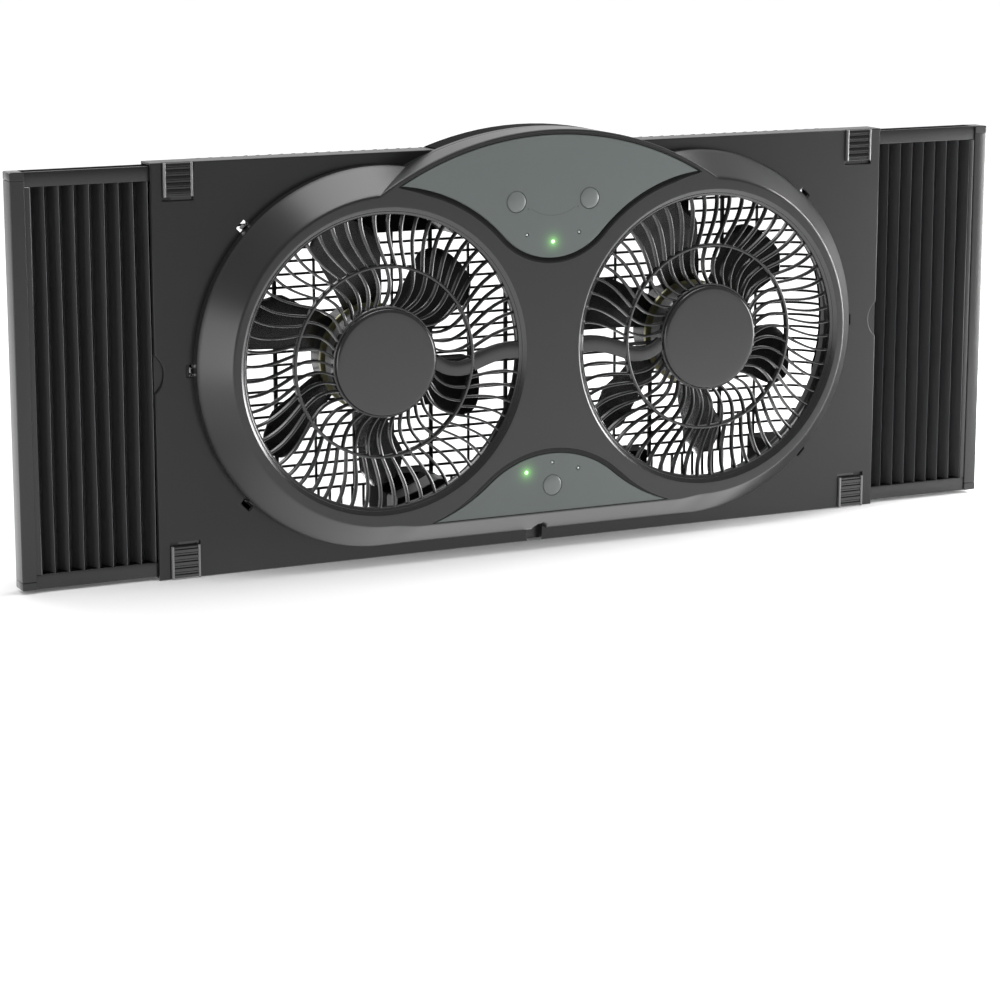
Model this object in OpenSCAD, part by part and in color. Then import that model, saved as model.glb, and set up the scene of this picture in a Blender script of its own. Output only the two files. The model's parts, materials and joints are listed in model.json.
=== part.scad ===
// Twin window fan: a plate with two fans side by side, a cover with control panels, a rear basket,
// and an accordion panel that slides out of each end to fill the width of the window.
// X runs to the right, Y to the back, Z up. The origin is on the face that stands on the sill, in the
// middle of the fan's width and depth. Depths are measured backwards from the plate's front face.

/* [Plate] */
// Width of the plate
plate_w = 630; // [626:1:640]
// Height of the plate
plate_h = 314.3; // [314:0.1:315]
// Depth of the plate, front face to back face
plate_d = 21; // [21:0.1:22]
// Thickness of the plate's front wall
plate_wall = 2.2; // [1.8:0.1:2.2]
// Thickness of the plate's back wall
back_wall = 1.8; // [1.2:0.1:1.8]
// How far the plate's front face stands before the middle of the depth
plate_lead = 12; // [10:0.5:14]

/* [Fans] */
// Distance of each fan's axis from the middle
fan_x = 140.5; // [140:0.1:141]
// Height of the fans' axes
fan_z = 158.2; // [158:0.1:158.5]
// Radius of the round openings at the cover's front face
opening_r = 118; // [117.8:0.1:118.2]
// Radius of the blade tips
tip_r = 106; // [104:0.5:106]
// Number of blades on each fan
blade_count = 6; // [3:1:7]
// Pitch of the blades to the plane they turn in
blade_pitch = 28; // [20:1:28]
// Radius of the motor shafts
shaft_r = 4; // [3.5:0.1:4]

/* [Grilles] */
// Number of ribs between the opening and the middle ring
outer_ribs = 60; // [40:1:64]
// Number of ribs between the middle ring and the hub
inner_ribs = 40; // [30:1:42]
// Thickness of a rib
rib_t = 1.8; // [1.4:0.1:2]
// Outer radius of the middle ring
ring_r = 74.5; // [70:0.5:76]
// Radius of the hub cap
cap_r = 41.5; // [40:0.5:42]

/* [Cover] */
// How far the cover stands out of the plate
cover_h = 31.5; // [31:0.1:32]
// Height of the straight wall at the foot of the cover
cover_foot = 7; // [6:0.5:8]
// Distance of the cover's round ends from the middle
cover_x = 137.5; // [137:0.1:138]
// Radius of the round ends at the front face
cover_front_r = 127; // [126.5:0.1:127.5]
// Radius of the round ends at the foot
cover_foot_r = 147.2; // [147:0.1:147.4]
// Wall thickness of the cover
cover_wall = 2.2; // [2:0.1:2.4]
// Radius of the arched top
arch_r = 262.5; // [262:0.1:263]
// Height of the centre of the arched top
arch_z = 66.6; // [66:0.1:67]

/* [Side panels] */
// Distance of each outer face from the middle
side_x = 421; // [420.5:0.1:421.5]
// Spacing of the pleats at rest
pleat_pitch = 11.3; // [11.2:0.01:11.35]
// Number of sliding pleats in each side panel
pleat_count = 9; // [9:1:9]
// Thickness of a pleat along the slide
pleat_t = 1.4; // [1:0.1:1.4]

/* [Rear basket] */
// Spacing of the horizontal bars
bar_pitch = 10.05; // [10:0.01:10.1]
// Number of horizontal bars
bar_count = 23; // [23:1:23]
// Height of the lowest bar
bar_z = 47.15; // [47:0.05:47.3]
// Thickness of a bar
bar_t = 1.8; // [1.4:0.1:2]
// Spacing of the upright stiffeners
stiffener_pitch = 33; // [33:0.1:33]
// Spacing of the curved ribs at the top and the bottom
rib_pitch = 9.6; // [9.4:0.1:10]

/* [Hidden] */
$fn = 96;

charcoal = "#4a4a4a";
black = "#222222";
grey_green = "#6e7573";
steel = "#b0b0b0";
olive = "#8a8450";

plate_y = -plate_lead;
inner_d = plate_d - back_wall;
tube_r = opening_r - 3;
tube_wall = 2.2;
tube_end = -15;
shroud_r = 115.2;
plate_hole_r = 134;
grille_front = -28;
grille_back = -23.5;
hub_plate_r = 43;
snap_angles = [-45, 0, 45];

// Fastening of the motors: four posts round each shaft
post_r = 2.6;
post_circle_r = 35.5;
motor_front = -25.5;
bracket_d = 3;
screw_r = 1.5;
boss_r = 9.5;
bearing_r = 7;
bearing_gap = 0.05;
stack_front = -20;
stack_back = -5;

// Control panels: the arcs that bound them, and their buttons and indicators
panel_side_r = 133.5;
panel_t = 1.2;
panel_gap = 0.3;
panel_arch_r = 258.4;
upper_cut_r = 57.3;
upper_cut_z = 287.3;
lower_top_r = 83;
lower_top_z = -6.5;
lower_side_x = 53.9;
lower_edge_z = 29.9;
button_r = 7.9;
button_hole_r = 8.2;
speed_button_at = [-31.5, 274.8];
power_button_at = [31.5, 274.8];
airflow_button_at = [0, 50.9];
button_travel = 1;
lamp_r = 1.5;
lit_lamps = [[0, 242.7], [-22.5, 62.6]];
unlit_lamps = [[-22.5, 249], [22.5, 249], [0, 69], [22.7, 62.6]];
board_front = -22;
board_back = -20.4;

// Cord notch at the bottom edge
notch_w = 13;
notch_h = 17;
notch_back = 8;

// Latches: a ribbed pad in a pocket, held by a flange behind the wall
latch_x = 294;
latch_w = 23;
latch_len = 25.1;
latch_margin = 0.2;
latch_proud = 2;
latch_travel = 2.5;
pocket_gap = 0.5;

// Side panels: stile, rails and pleats
side_front = 2.3;
side_back = 19;
stile_w = 11;
rail_front = 3.8;
rail_low = 2.3;
rail_high = 13.5;
rail_inner_x = 250;
skin = 1.8;
pleat_front = 4.2;
pleat_back = 16.8;
pleat_reach = 13;
pleat_0_x = side_x - 15;
pleat_low = 14.2;

// Rear basket: bars and ribs that bend forward to the plate on a quarter round
basket_back = 54.5;
basket_depth_t = 2;
bend_r = 34;
bend_d = basket_back - bend_r;
bend_x = 245;
bend_top_z = 280.4;
flange_d = 2.5;
bar_top_z = bar_z + bar_pitch * (bar_count - 1);
box_x = 155;
box_z = 248.7;
box_top_z = 300;
box_wall = 2.2;
hump_half = 84;
hump_taper = 0.31;
pad_spans = [[77, 119], [227, 269]];
pad_top_z = 57.4;
rear_screw_x = 272;
rear_screw_z = [30, 100, 215, 284];

// Draws an X-Z outline as a slab between two depths.
module slab(front, back)
    translate([0, plate_y + back, 0])
        rotate([90, 0, 0])
            linear_extrude(back - front)
                children();

// Draws a depth-Z outline as a bar between two X positions.
module bar_along_x(from, to)
    translate([from, plate_y, 0])
        rotate([90, 0, 90])
            linear_extrude(to - from)
                children();

// Places a turned shape on a fan's axis, its own Z running to the back from the plate's front face.
module on_axis(side)
    translate([side * fan_x, plate_y, fan_z])
        rotate([-90, 0, 0])
            children();

module both_sides() {
    children();
    mirror([1, 0, 0])
        children();
}

// Mirrors what is drawn for the top to the bottom of the plate.
module top_and_bottom() {
    children();
    translate([0, 0, plate_h])
        mirror([0, 0, 1])
            children();
}

module sided(side) {
    if (side > 0)
        children();
    else
        mirror([1, 0, 0])
            children();
}

module box(x, d, z)
    translate([x[0], plate_y + d[0], z[0]])
        cube([x[1] - x[0], d[1] - d[0], z[1] - z[0]]);

module ring(outer, inner)
    difference() {
        circle(outer);
        circle(inner);
    }

// ---- Plate ----

module plate_outline()
    difference() {
        translate([-plate_w / 2, 0])
            square([plate_w, plate_h]);
        for (side = [-1, 1])
            translate([side * (plate_w / 2 + 11), plate_h / 2])
                circle(18);
    }

// Holes behind the fans: wide round ones, narrowed where the control box and the feet stand behind
module fan_holes(grow)
    for (side = [-1, 1]) {
        translate([side * fan_x, fan_z])
            circle(shroud_r + grow);
        difference() {
            translate([side * fan_x, fan_z])
                circle(plate_hole_r + grow);
            pads(-grow);
            control_box_outline(-grow);
        }
    }

module snap_slots()
    for (side = [0, 1])
        mirror([side, 0])
            translate([cover_x, fan_z])
                for (angle = snap_angles)
                    rotate(angle)
                        translate([cover_foot_r + 0.4, -4.5])
                            square([5, 9]);

module snap_windows()
    for (side = [0, 1])
        mirror([side, 0])
            translate([cover_x, fan_z])
                for (angle = snap_angles)
                    rotate(angle)
                        translate([cover_foot_r + 2.9, 0])
                            circle(10);

module latch_pockets()
    for (side = [0, 1], low = [0, 1])
        translate([0, low * plate_h])
            mirror([side, 0])
                mirror([0, low])
                    translate([latch_x - latch_w / 2 - pocket_gap, plate_h - 28.3])
                        square([latch_w + 2 * pocket_gap, 30]);

module rear_screw_holes()
    for (side = [-1, 1], z = rear_screw_z)
        translate([side * rear_screw_x, z])
            circle(screw_r, $fn = 32);

module cord_notch() {
    translate([-notch_w / 2, -1])
        square([notch_w, notch_h - notch_w / 2 + 1]);
    translate([0, notch_h - notch_w / 2])
        circle(notch_w / 2);
}

module main_frame() {
    cable_hole_r = 7;
    color(charcoal)
        difference() {
            union() {
                slab(0, plate_wall)
                    difference() {
                        plate_outline();
                        fan_holes(0);
                        snap_slots();
                        latch_pockets();
                    }
                slab(inner_d, plate_d)
                    difference() {
                        plate_outline();
                        fan_holes(0);
                        snap_windows();
                        rear_screw_holes();
                    }
                slab(plate_wall, inner_d) {
                    for (z = [0, plate_h - 1.5])
                        translate([-plate_w / 2, z])
                            square([plate_w, 1.5]);
                    difference() {
                        fan_holes(2);
                        fan_holes(0);
                    }
                    for (side = [0, 1], z = [14.3, plate_h - 15.8])
                        mirror([side, 0])
                            translate([160, z])
                                square([116, 1.5]);
                }
            }
            slab(-1, notch_back)
                cord_notch();
            slab(-1, plate_d + 1) {
                translate([0, 270])
                    circle(cable_hole_r);
                translate([-hump_half - 0.5, plate_h - 0.3])
                    square([2 * hump_half + 1, 1]);
            }
        }
}

// ---- Cover ----

// Round end of the cover: a cone that runs into a straight foot.
module cover_end(front_r, foot_r, front)
    translate([cover_x, plate_y + front, fan_z])
        rotate([-90, 0, 0]) {
            cylinder(h = -cover_foot - front, r1 = front_r, r2 = foot_r, $fn = 192);
            translate([0, 0, -cover_foot - front])
                cylinder(h = cover_foot, r = foot_r, $fn = 192);
        }

module arch_outline(r)
    intersection() {
        translate([0, arch_z])
            circle(r, $fn = 360);
        translate([-cover_x, fan_z])
            square([2 * cover_x, 200]);
    }

// Lower middle of the cover: its underside slopes back to the foot.
module underside(front, front_z, foot_z, half)
    bar_along_x(-half, half)
        polygon([
            [front, front_z], [front, fan_z + 1], [0, fan_z + 1],
            [0, foot_z], [-cover_foot, foot_z]
        ]);

module cover_body(inset) {
    slope = (cover_foot_r - cover_front_r) / (cover_h - cover_foot);
    inset_r = inset * sqrt(1 + slope * slope);
    front = -cover_h + inset;
    low = fan_z - cover_front_r;
    foot = fan_z - cover_foot_r;
    both_sides()
        cover_end(cover_front_r + inset * slope - inset_r, cover_foot_r - inset_r, front);
    slab(front, 0)
        arch_outline(arch_r - inset);
    underside(front, low + inset_r - inset * slope, foot + inset_r, cover_x);
    underside(front, low - 2.3 + inset_r - inset * slope, foot + inset_r, 112);
}

// Outline of a control panel, shrunk by gap at its edges. The sides follow the fan openings.
module panel_sides(gap)
    for (side = [-1, 1])
        translate([side * fan_x, fan_z])
            circle(panel_side_r + gap, $fn = 192);

module upper_panel_outline(gap) {
    foot_z = 248.5;
    difference() {
        intersection() {
            translate([0, arch_z])
                circle(panel_arch_r - gap, $fn = 360);
            translate([-fan_x, foot_z])
                square([2 * fan_x, 100]);
        }
        panel_sides(gap);
    }
    intersection() {
        translate([0, upper_cut_z])
            circle(upper_cut_r - gap, $fn = 96);
        translate([-42, 200])
            square([84, 49]);
    }
}

module lower_panel_outline(gap) {
    difference() {
        translate([-fan_x, lower_edge_z + gap])
            square([2 * fan_x, 56.6 - lower_edge_z - gap]);
        panel_sides(gap);
    }
    intersection() {
        translate([0, lower_top_z])
            circle(lower_top_r - gap, $fn = 192);
        translate([-lower_side_x, 56])
            square([2 * lower_side_x, 40]);
    }
}

module button_holes(r)
    for (p = [speed_button_at, power_button_at, airflow_button_at])
        translate(p)
            circle(r);

module lamp_holes()
    for (p = concat(lit_lamps, unlit_lamps))
        translate(p)
            circle(lamp_r, $fn = 32);

module front_cover() {
    hook_w = 4;
    hook_t = 1.7;
    wire_hole_r = 3;
    color(charcoal) {
        difference() {
            cover_body(0);
            difference() {
                cover_body(cover_wall);
                for (side = [-1, 1])
                    on_axis(side)
                        translate([0, 0, -cover_h])
                            cylinder(h = cover_h + tube_end, r = tube_r + tube_wall, $fn = 192);
            }
            for (side = [-1, 1])
                on_axis(side) {
                    translate([0, 0, -cover_h])
                        cylinder(h = 3, r1 = opening_r, r2 = tube_r, $fn = 192);
                    translate([0, 0, -cover_h - 1])
                        cylinder(h = cover_h + 2, r = tube_r, $fn = 192);
                }
            slab(-cover_h - 1, -cover_h + panel_t) {
                upper_panel_outline(0);
                lower_panel_outline(0);
            }
            slab(-cover_h - 1, -cover_h + cover_wall + 1) {
                button_holes(button_hole_r);
                lamp_holes();
            }
            slab(-15, 1)
                cord_notch();
            bar_along_x(-fan_x + 100, fan_x - 100)
                translate([-22 , fan_z - 2])
                    circle(wire_hole_r, $fn = 32);
        }
        both_sides()
            for (angle = snap_angles)
                translate([cover_x, plate_y, fan_z])
                    rotate([0, -angle, 0]) {
                        translate([cover_foot_r - 1.6, -3, -hook_w / 2])
                            cube([hook_t + 2.3, 3, hook_w]);
                        translate([cover_foot_r + 0.7, -3, -hook_w / 2])
                            cube([hook_t, 8, hook_w]);
                    }
    }
}

// ---- Grilles ----

// Point of a rib's middle line, in the plane of the grille: angle in degrees at radius r.
function on_circle(r, angle) = [r * cos(angle), r * sin(angle)];
function outer_bend(r) = let (u = (opening_r - r) / 44) 6.6 * u - 11.4 * u * u;
function inner_bend(r) = let (v = (74 - r) / 32) -8.2 * v - 4.8 * v * v + 16 * v * v * v;
function unit(v) = v / norm(v);
function rib_side(points, half) = [
    for (i = [0:len(points) - 1])
        let (
            before = points[max(i - 1, 0)],
            after = points[min(i + 1, len(points) - 1)],
            along = unit(after - before)
        )
        points[i] + half * [-along[1], along[0]]
];
function reversed(list) = [for (i = [len(list) - 1:-1:0]) list[i]];

module rib(points, width)
    polygon(concat(rib_side(points, width / 2), reversed(rib_side(points, -width / 2))));

module outer_rib(angle, width)
    rib([for (i = [0:6]) let (r = 73.4 + i * (114.4 - 73.4) / 6) on_circle(r, angle + outer_bend(r))], width);

module inner_rib(angle, width)
    rib([for (i = [0:6]) let (r = 41.8 + i * (73.2 - 41.8) / 6) on_circle(r, angle + inner_bend(r))], width);

// The left grille is drawn; the right one is its mirror image.
module front_grille(side) {
    color(charcoal)
        sided(-side) {
            slab(grille_front, grille_back)
                translate([-fan_x, fan_z]) {
                    ring(tube_r, tube_r - 1.6, $fn = 192);
                    ring(ring_r, ring_r - 2.5);
                    ring(hub_plate_r, hub_plate_r - 3);
                    for (k = [0:outer_ribs - 1])
                        outer_rib(3 + k * 360 / outer_ribs, rib_t);
                    for (k = [0:inner_ribs - 1])
                        inner_rib(7.5 + k * 360 / inner_ribs, rib_t);
                    outer_rib(0, 12.5);
                    inner_rib(-6, 10.8);
                }
            difference() {
                on_axis(-1) {
                    translate([0, 0, grille_front])
                        cylinder(h = motor_front - grille_front, r = hub_plate_r - 1);
                    translate([0, 0, motor_front - 0.5])
                        cylinder(h = 4.5, r = boss_r);
                }
                on_axis(-1) {
                    translate([0, 0, motor_front - 1])
                        cylinder(h = 6, r = bearing_r);
                    for (k = [0:3])
                        rotate(45 + 90 * k)
                            translate([post_circle_r, 0, grille_front - 1])
                                cylinder(h = 6, r = screw_r + 0.3);
                }
            }
        }
}

module hub_cap(side)
    color(charcoal)
        on_axis(side)
            rotate_extrude($fn = 128)
                difference() {
                    union() {
                        translate([0, -cover_h])
                            square([cap_r - 2, 3.5]);
                        translate([0, -cover_h + 2])
                            square([cap_r, 1.5]);
                        translate([cap_r - 2, -cover_h + 2])
                            circle(2);
                        translate([0, -cover_h])
                            square([1, 3.5]);
                    }
                    translate([-60, -80])
                        square([60, 100]);
                    translate([-1, -cover_h + 1.6])
                        square([cap_r - 0.6, 10]);
                    translate([0, grille_front])
                        square([60, 10]);
                }

// ---- Rotors ----

module blade_outline() {
    root_r = 36.5;
    intersection() {
        circle(tip_r, $fn = 192);
        hull() {
            translate([root_r, -18])
                square([1, 26]);
            for (p = [[97, -9], [97, 15]])
                translate(p)
                    circle(10, $fn = 32);
        }
    }
}

module fan_blade(side) {
    blade_d = 14;
    blade_t = 2;
    phase = side < 0 ? 38 : 41;
    color(black)
        on_axis(side) {
            difference() {
                union() {
                    rotate_extrude()
                        polygon([
                            [shaft_r + 0.02, 30], [shaft_r + 0.02, 14], [8, 14], [8, 28],
                            [36, 28], [36, 8], [38, 8], [38, 30]
                        ]);
                    for (k = [0:blade_count - 1])
                        rotate(-phase - k * 360 / blade_count)
                            translate([0, 0, blade_d])
                                rotate([-blade_pitch, 0, 0])
                                    translate([0, 0, -blade_t / 2])
                                        linear_extrude(blade_t)
                                            blade_outline();
                }
                translate([0, 0, 3])
                    cylinder(h = 5, r = 50);
            }
        }
}

module blade_nut(side)
    color(black)
        on_axis(side)
            rotate_extrude($fn = 64)
                polygon([
                    [shaft_r + 0.02, 30], [10, 30], [10, 34], [8, 37], [shaft_r + 0.02, 37]
                ]);

module motor_shaft(side)
    color(steel)
        on_axis(side)
            rotate_extrude($fn = 64)
                polygon([
                    [0, -25], [shaft_r, -25], [shaft_r, stack_front], [15.8, stack_front],
                    [15.8, stack_back], [shaft_r, stack_back], [shaft_r, 39], [shaft_r - 1, 40], [0, 40]
                ]);

// ---- Motors ----

module motor_stator(side)
    color(steel)
        on_axis(side)
            translate([0, 0, stack_front])
                linear_extrude(stack_back - stack_front)
                    difference() {
                        circle(40);
                        circle(16.2);
                        for (k = [0:3])
                            rotate(45 + 90 * k)
                                translate([post_circle_r, 0])
                                    circle(post_r, $fn = 32);
                        for (k = [0:7])
                            rotate(22.5 + 45 * k)
                                translate([23.5, 0])
                                    circle(4.6, $fn = 32);
                    }

// End turns of the windings, before and behind the laminations
module motor_windings(side)
    color("peru")
        on_axis(side)
            for (d = [stack_front - 2.8, stack_back])
                rotate_extrude()
                    translate([17.5, d])
                        square([13, 2.8]);

module motor_bracket(side)
    color(olive)
        on_axis(side) {
            difference() {
                union() {
                    cylinder(h = bracket_d, r = 42);
                    translate([0, 0, -0.5])
                        cylinder(h = bracket_d + 1.5, r = boss_r);
                    for (k = [0:3])
                        rotate(45 + 90 * k)
                            translate([post_circle_r, 0, motor_front])
                                cylinder(h = -motor_front + 1, r = post_r, $fn = 32);
                }
                translate([0, 0, -2])
                    cylinder(h = 10, r = bearing_r);
                for (k = [0:3])
                    rotate(45 + 90 * k)
                        translate([post_circle_r, 0, motor_front - 1])
                            cylinder(h = 13, r = screw_r, $fn = 32);
                for (k = [0:7])
                    rotate(45 * k)
                        translate([25, 0, -1])
                            cylinder(h = 6, r = 6, $fn = 32);
            }
        }

module motor_bearings()
    color("goldenrod")
        for (side = [-1, 1], span = [[-26.5, -21.5], [-0.5, 4]])
            on_axis(side)
                translate([0, 0, span[0]])
                    difference() {
                        cylinder(h = span[1] - span[0], r = bearing_r, $fn = 64);
                        translate([0, 0, -1])
                            cylinder(h = 10, r = shaft_r + bearing_gap, $fn = 64);
                    }

module motor_screws()
    color(steel)
        for (side = [-1, 1], k = [0:3])
            on_axis(side)
                rotate(45 + 90 * k)
                    translate([post_circle_r, 0, 0]) {
                        translate([0, 0, grille_front - 1.6])
                            cylinder(h = 1.6, r = 2.8, $fn = 32);
                        translate([0, 0, grille_front])
                            cylinder(h = 12, r = screw_r, $fn = 32);
                    }

// ---- Rear basket ----

// Depth-Z outline of one curved rib, from the end bar to the flange. It is drawn for the top.
module bend_outline() {
    intersection() {
        translate([bend_d, bend_top_z])
            ring(bend_r, bend_r - basket_depth_t, $fn = 128);
        translate([plate_d + flange_d, bend_top_z])
            square([60, 60]);
    }
    translate([basket_back - basket_depth_t, bar_top_z])
        square([basket_depth_t, bend_top_z - bar_top_z]);
}

module pads(grow)
    for (side = [0, 1], span = pad_spans)
        mirror([side, 0])
            translate([span[0] - grow, -1])
                square([span[1] - span[0] + 2 * grow, pad_top_z + 1 + grow]);

module control_box_outline(grow)
    translate([-box_x - grow, box_z - grow])
        square([2 * (box_x + grow), 100]);

module rear_grid()
    difference() {
        union() {
            for (k = [0:bar_count - 1])
                translate([-bend_x, bar_z + k * bar_pitch - bar_t / 2])
                    square([2 * bend_x, bar_t]);
            for (k = [-7:7])
                translate([k * stiffener_pitch - (k % 2 == 0 ? 1.5 : 0.8), bar_z])
                    square([k % 2 == 0 ? 3 : 1.6, bar_top_z - bar_z]);
        }
        pads(0.2);
        control_box_outline(0.2);
    }

// Horizontal bar's end, bent forward to the plate
module bar_end()
    intersection() {
        translate([bend_x, plate_y + bend_d])
            ring(bend_r, bend_r - basket_depth_t, $fn = 128);
        translate([bend_x - 1, plate_y + plate_d + flange_d])
            square([60, 60]);
    }

module rear_grille()
    color(black) {
        slab(basket_back - basket_depth_t, basket_back)
            rear_grid();
        both_sides()
            for (k = [2:bar_count - 1])
                translate([0, 0, bar_z + k * bar_pitch - bar_t / 2])
                    linear_extrude(bar_t)
                        bar_end();
        both_sides()
            for (k = [0:24])
                let (x = k * rib_pitch)
                    if (x > box_x + 2)
                        bar_along_x(x - 0.8, x + 0.8)
                            bend_outline();
        both_sides()
            for (k = [0:24])
                let (
                    x = k * rib_pitch,
                    blocked = len([for (s = pad_spans) if (x > s[0] - 1.2 && x < s[1] + 1.2) 1]) > 0
                )
                    if (!blocked)
                        translate([0, 0, bar_z + bar_top_z])
                            mirror([0, 0, 1])
                                bar_along_x(x - 0.8, x + 0.8)
                                    bend_outline();
    }

// Room that the blades turn in, which the control box and the feet keep clear of
module fan_recess(grow) {
    recess_back = 33;
    for (side = [-1, 1])
        on_axis(side)
            cylinder(h = recess_back + grow, r = shroud_r + grow, $fn = 192);
}

// Side outline of the control box and the hump above it, rounded at the back
module housing_profile(inset)
    difference() {
        translate([plate_d, box_z + inset])
            square([35 - inset, 90]);
        difference() {
            translate([plate_d + 15, 309])
                square([30, 40]);
            translate([plate_d + 15, 309])
                circle(20 - inset, $fn = 96);
        }
    }

// Hump above the control box: its arched top draws in towards the back
module hump(front, inset) {
    back = basket_back + 2;
    intersection() {
        translate([0, plate_y + front, arch_z])
            rotate([-90, 0, 0])
                cylinder(
                    h = back - front,
                    r1 = arch_r - inset - hump_taper * (front - plate_d),
                    r2 = arch_r - inset - hump_taper * (back - plate_d),
                    $fn = 360
                );
        slab(front, back)
            translate([-hump_half + inset, box_z + inset])
                square([2 * (hump_half - inset), 100]);
    }
}

module rear_housing() {
    color(black) {
        slab(plate_d, plate_d + flange_d)
            difference() {
                translate([-280, 0])
                    square([560, 314]);
                translate([-268, 8])
                    square([536, 296]);
                fan_holes(0);
                rear_screw_holes();
            }
        both_sides()
            for (k = [9:16])
                bar_along_x(k * rib_pitch - 0.8, k * rib_pitch + 0.8)
                    intersection() {
                        bend_outline();
                        translate([plate_d, box_top_z - 1])
                            square([60, 60]);
                    }
        difference() {
            intersection() {
                union() {
                    slab(plate_d, basket_back + 2)
                        translate([-box_x, box_z])
                            square([2 * box_x, box_top_z - box_z]);
                    hump(plate_d, 0);
                }
                bar_along_x(-box_x, box_x)
                    housing_profile(0);
            }
            fan_recess(0);
            difference() {
                intersection() {
                    union() {
                        slab(plate_d - 1, basket_back + 2)
                            translate([-box_x + box_wall, box_z + box_wall])
                                square([2 * (box_x - box_wall), box_top_z - box_z - 2 * box_wall]);
                        hump(plate_d - 1, box_wall);
                    }
                    bar_along_x(-box_x, box_x)
                        translate([-box_wall, 0])
                            housing_profile(0);
                }
                fan_recess(box_wall);
            }
        }
        slab(0.2, plate_d)
            difference() {
                intersection() {
                    arch_outline(arch_r);
                    translate([-hump_half, plate_h + 0.2])
                        square([2 * hump_half, 60]);
                }
                intersection() {
                    arch_outline(arch_r - box_wall);
                    translate([-hump_half + box_wall, plate_h + 0.2 + box_wall])
                        square([2 * (hump_half - box_wall), 60]);
                }
            }
        foot_pads();
    }
}

// Feet of the basket: boxes that are open towards the plate
module foot_pads()
    both_sides()
        for (span = pad_spans)
            difference() {
                box(span, [plate_d, basket_back + 1.5], [0, pad_top_z]);
                fan_recess(0);
                difference() {
                    box(
                        [span[0] + box_wall, span[1] - box_wall], [plate_d - 1, basket_back + 1.5 - box_wall],
                        [box_wall, pad_top_z - box_wall]
                    );
                    fan_recess(box_wall);
                }
            }

module rear_screws()
    color(steel)
        both_sides()
            for (z = rear_screw_z)
                translate([rear_screw_x, plate_y + inner_d, z])
                    rotate([-90, 0, 0]) {
                        cylinder(h = back_wall + flange_d, r = screw_r, $fn = 32);
                        translate([0, 0, back_wall + flange_d])
                            cylinder(h = 1.8, r = 2.8, $fn = 32);
                    }

// ---- Side panels ----

// Depth-Z section of a rail: a channel that is open at the top.
module rail_section()
    difference() {
        translate([rail_front, plate_h - rail_high])
            square([side_back - rail_front, rail_high - rail_low]);
        translate([rail_front + skin, plate_h - rail_high + skin])
            square([side_back - rail_front - 2 * skin, 20]);
    }

module pleat_section(x)
    polygon([
        [x, plate_y + pleat_front], [x + pleat_t, plate_y + pleat_front],
        [x + pleat_reach + pleat_t, plate_y + pleat_back], [x + pleat_reach, plate_y + pleat_back]
    ]);

module expander_frame(side)
    color(charcoal)
        sided(side) {
            top_and_bottom() {
                bar_along_x(rail_inner_x, side_x - stile_w + 1)
                    rail_section();
                box([side_x - stile_w, side_x], [side_front, side_back], [plate_h - rail_high, plate_h - rail_low]);
            }
            translate([0, 0, rail_low])
                linear_extrude(plate_h - 2 * rail_low) {
                    translate([side_x - skin, plate_y + side_front])
                        square([skin, side_back - side_front]);
                    for (d = [side_front, side_back - skin])
                        translate([side_x - stile_w, plate_y + d])
                            square([stile_w, skin]);
                }
            translate([0, 0, rail_high - 1])
                linear_extrude(plate_h - 2 * rail_high + 2)
                    pleat_section(pleat_0_x);
        }

module pleat(side, k)
    color(charcoal)
        sided(side)
            translate([0, 0, pleat_low])
                linear_extrude(plate_h - 2 * pleat_low)
                    pleat_section(pleat_0_x - k * pleat_pitch);

// ---- Latches ----

module latch(side, low) {
    groove = 1.2;
    first_groove = 4;
    top = plate_h - latch_margin;
    left = latch_x - latch_w / 2;
    color(charcoal)
        translate([0, 0, low ? plate_h : 0])
            mirror([0, 0, low ? 1 : 0])
                sided(side)
                    difference() {
                        union() {
                            box([left, left + latch_w], [-latch_proud, 2], [top - latch_len, top]);
                            box([left, left + latch_w], [1.9, 2.5], [top - latch_len, top - 5]);
                            box([left - 3, left + latch_w + 3], [2.4, 3.3], [top - latch_len, top - 5]);
                        }
                        for (k = [0:4])
                            box(
                                [left + 2, left + latch_w - 2], [-latch_proud - 1, -latch_proud + groove],
                                [top - 3.2 - 4.6 * k - groove - 1, top - 3.2 - 4.6 * k]
                            );
                    }
}

// ---- Controls ----

module upper_control_panel()
    color(grey_green)
        slab(-cover_h, -cover_h + panel_t)
            difference() {
                upper_panel_outline(panel_gap);
                button_holes(button_hole_r);
                lamp_holes();
            }

module lower_control_panel()
    color(grey_green)
        slab(-cover_h, -cover_h + panel_t)
            difference() {
                lower_panel_outline(panel_gap);
                button_holes(button_hole_r);
                lamp_holes();
            }

// A push button: the cap, and a flange behind the cover's wall
module push_button(at)
    color(grey_green)
        translate([at[0], plate_y, at[1]])
            rotate([-90, 0, 0]) {
                translate([0, 0, -cover_h - 0.8])
                    cylinder(h = 5.1, r = button_r);
                translate([0, 0, -cover_h + cover_wall + 0.1])
                    cylinder(h = 1, r = button_r + 1.8);
            }

module lamps(places, colour)
    color(colour)
        slab(-cover_h, -cover_h + cover_wall)
            for (p = places)
                translate(p)
                    circle(lamp_r, $fn = 32);

module upper_control_board()
    color("darkgreen")
        box([-45, 45], [board_front, board_back], [240, 292]);

module lower_control_board()
    color("darkgreen")
        box([-30, 30], [board_front, board_back], [41, 71]);

module button_switches()
    color("dimgray")
        for (p = [speed_button_at, power_button_at, airflow_button_at])
            translate([p[0], plate_y, p[1]])
                rotate([-90, 0, 0]) {
                    translate([0, 0, board_front - 4.1])
                        cylinder(h = 2, r = 1.6, $fn = 32);
                    translate([-3, -3, board_front - 2.5])
                        cube([6, 6, 2.5]);
                }

module run_capacitors()
    color("dimgray")
        for (x = [-72, 34])
            box([x, x + 38], [plate_d + 2, plate_d + 20], [256, 284]);

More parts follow.
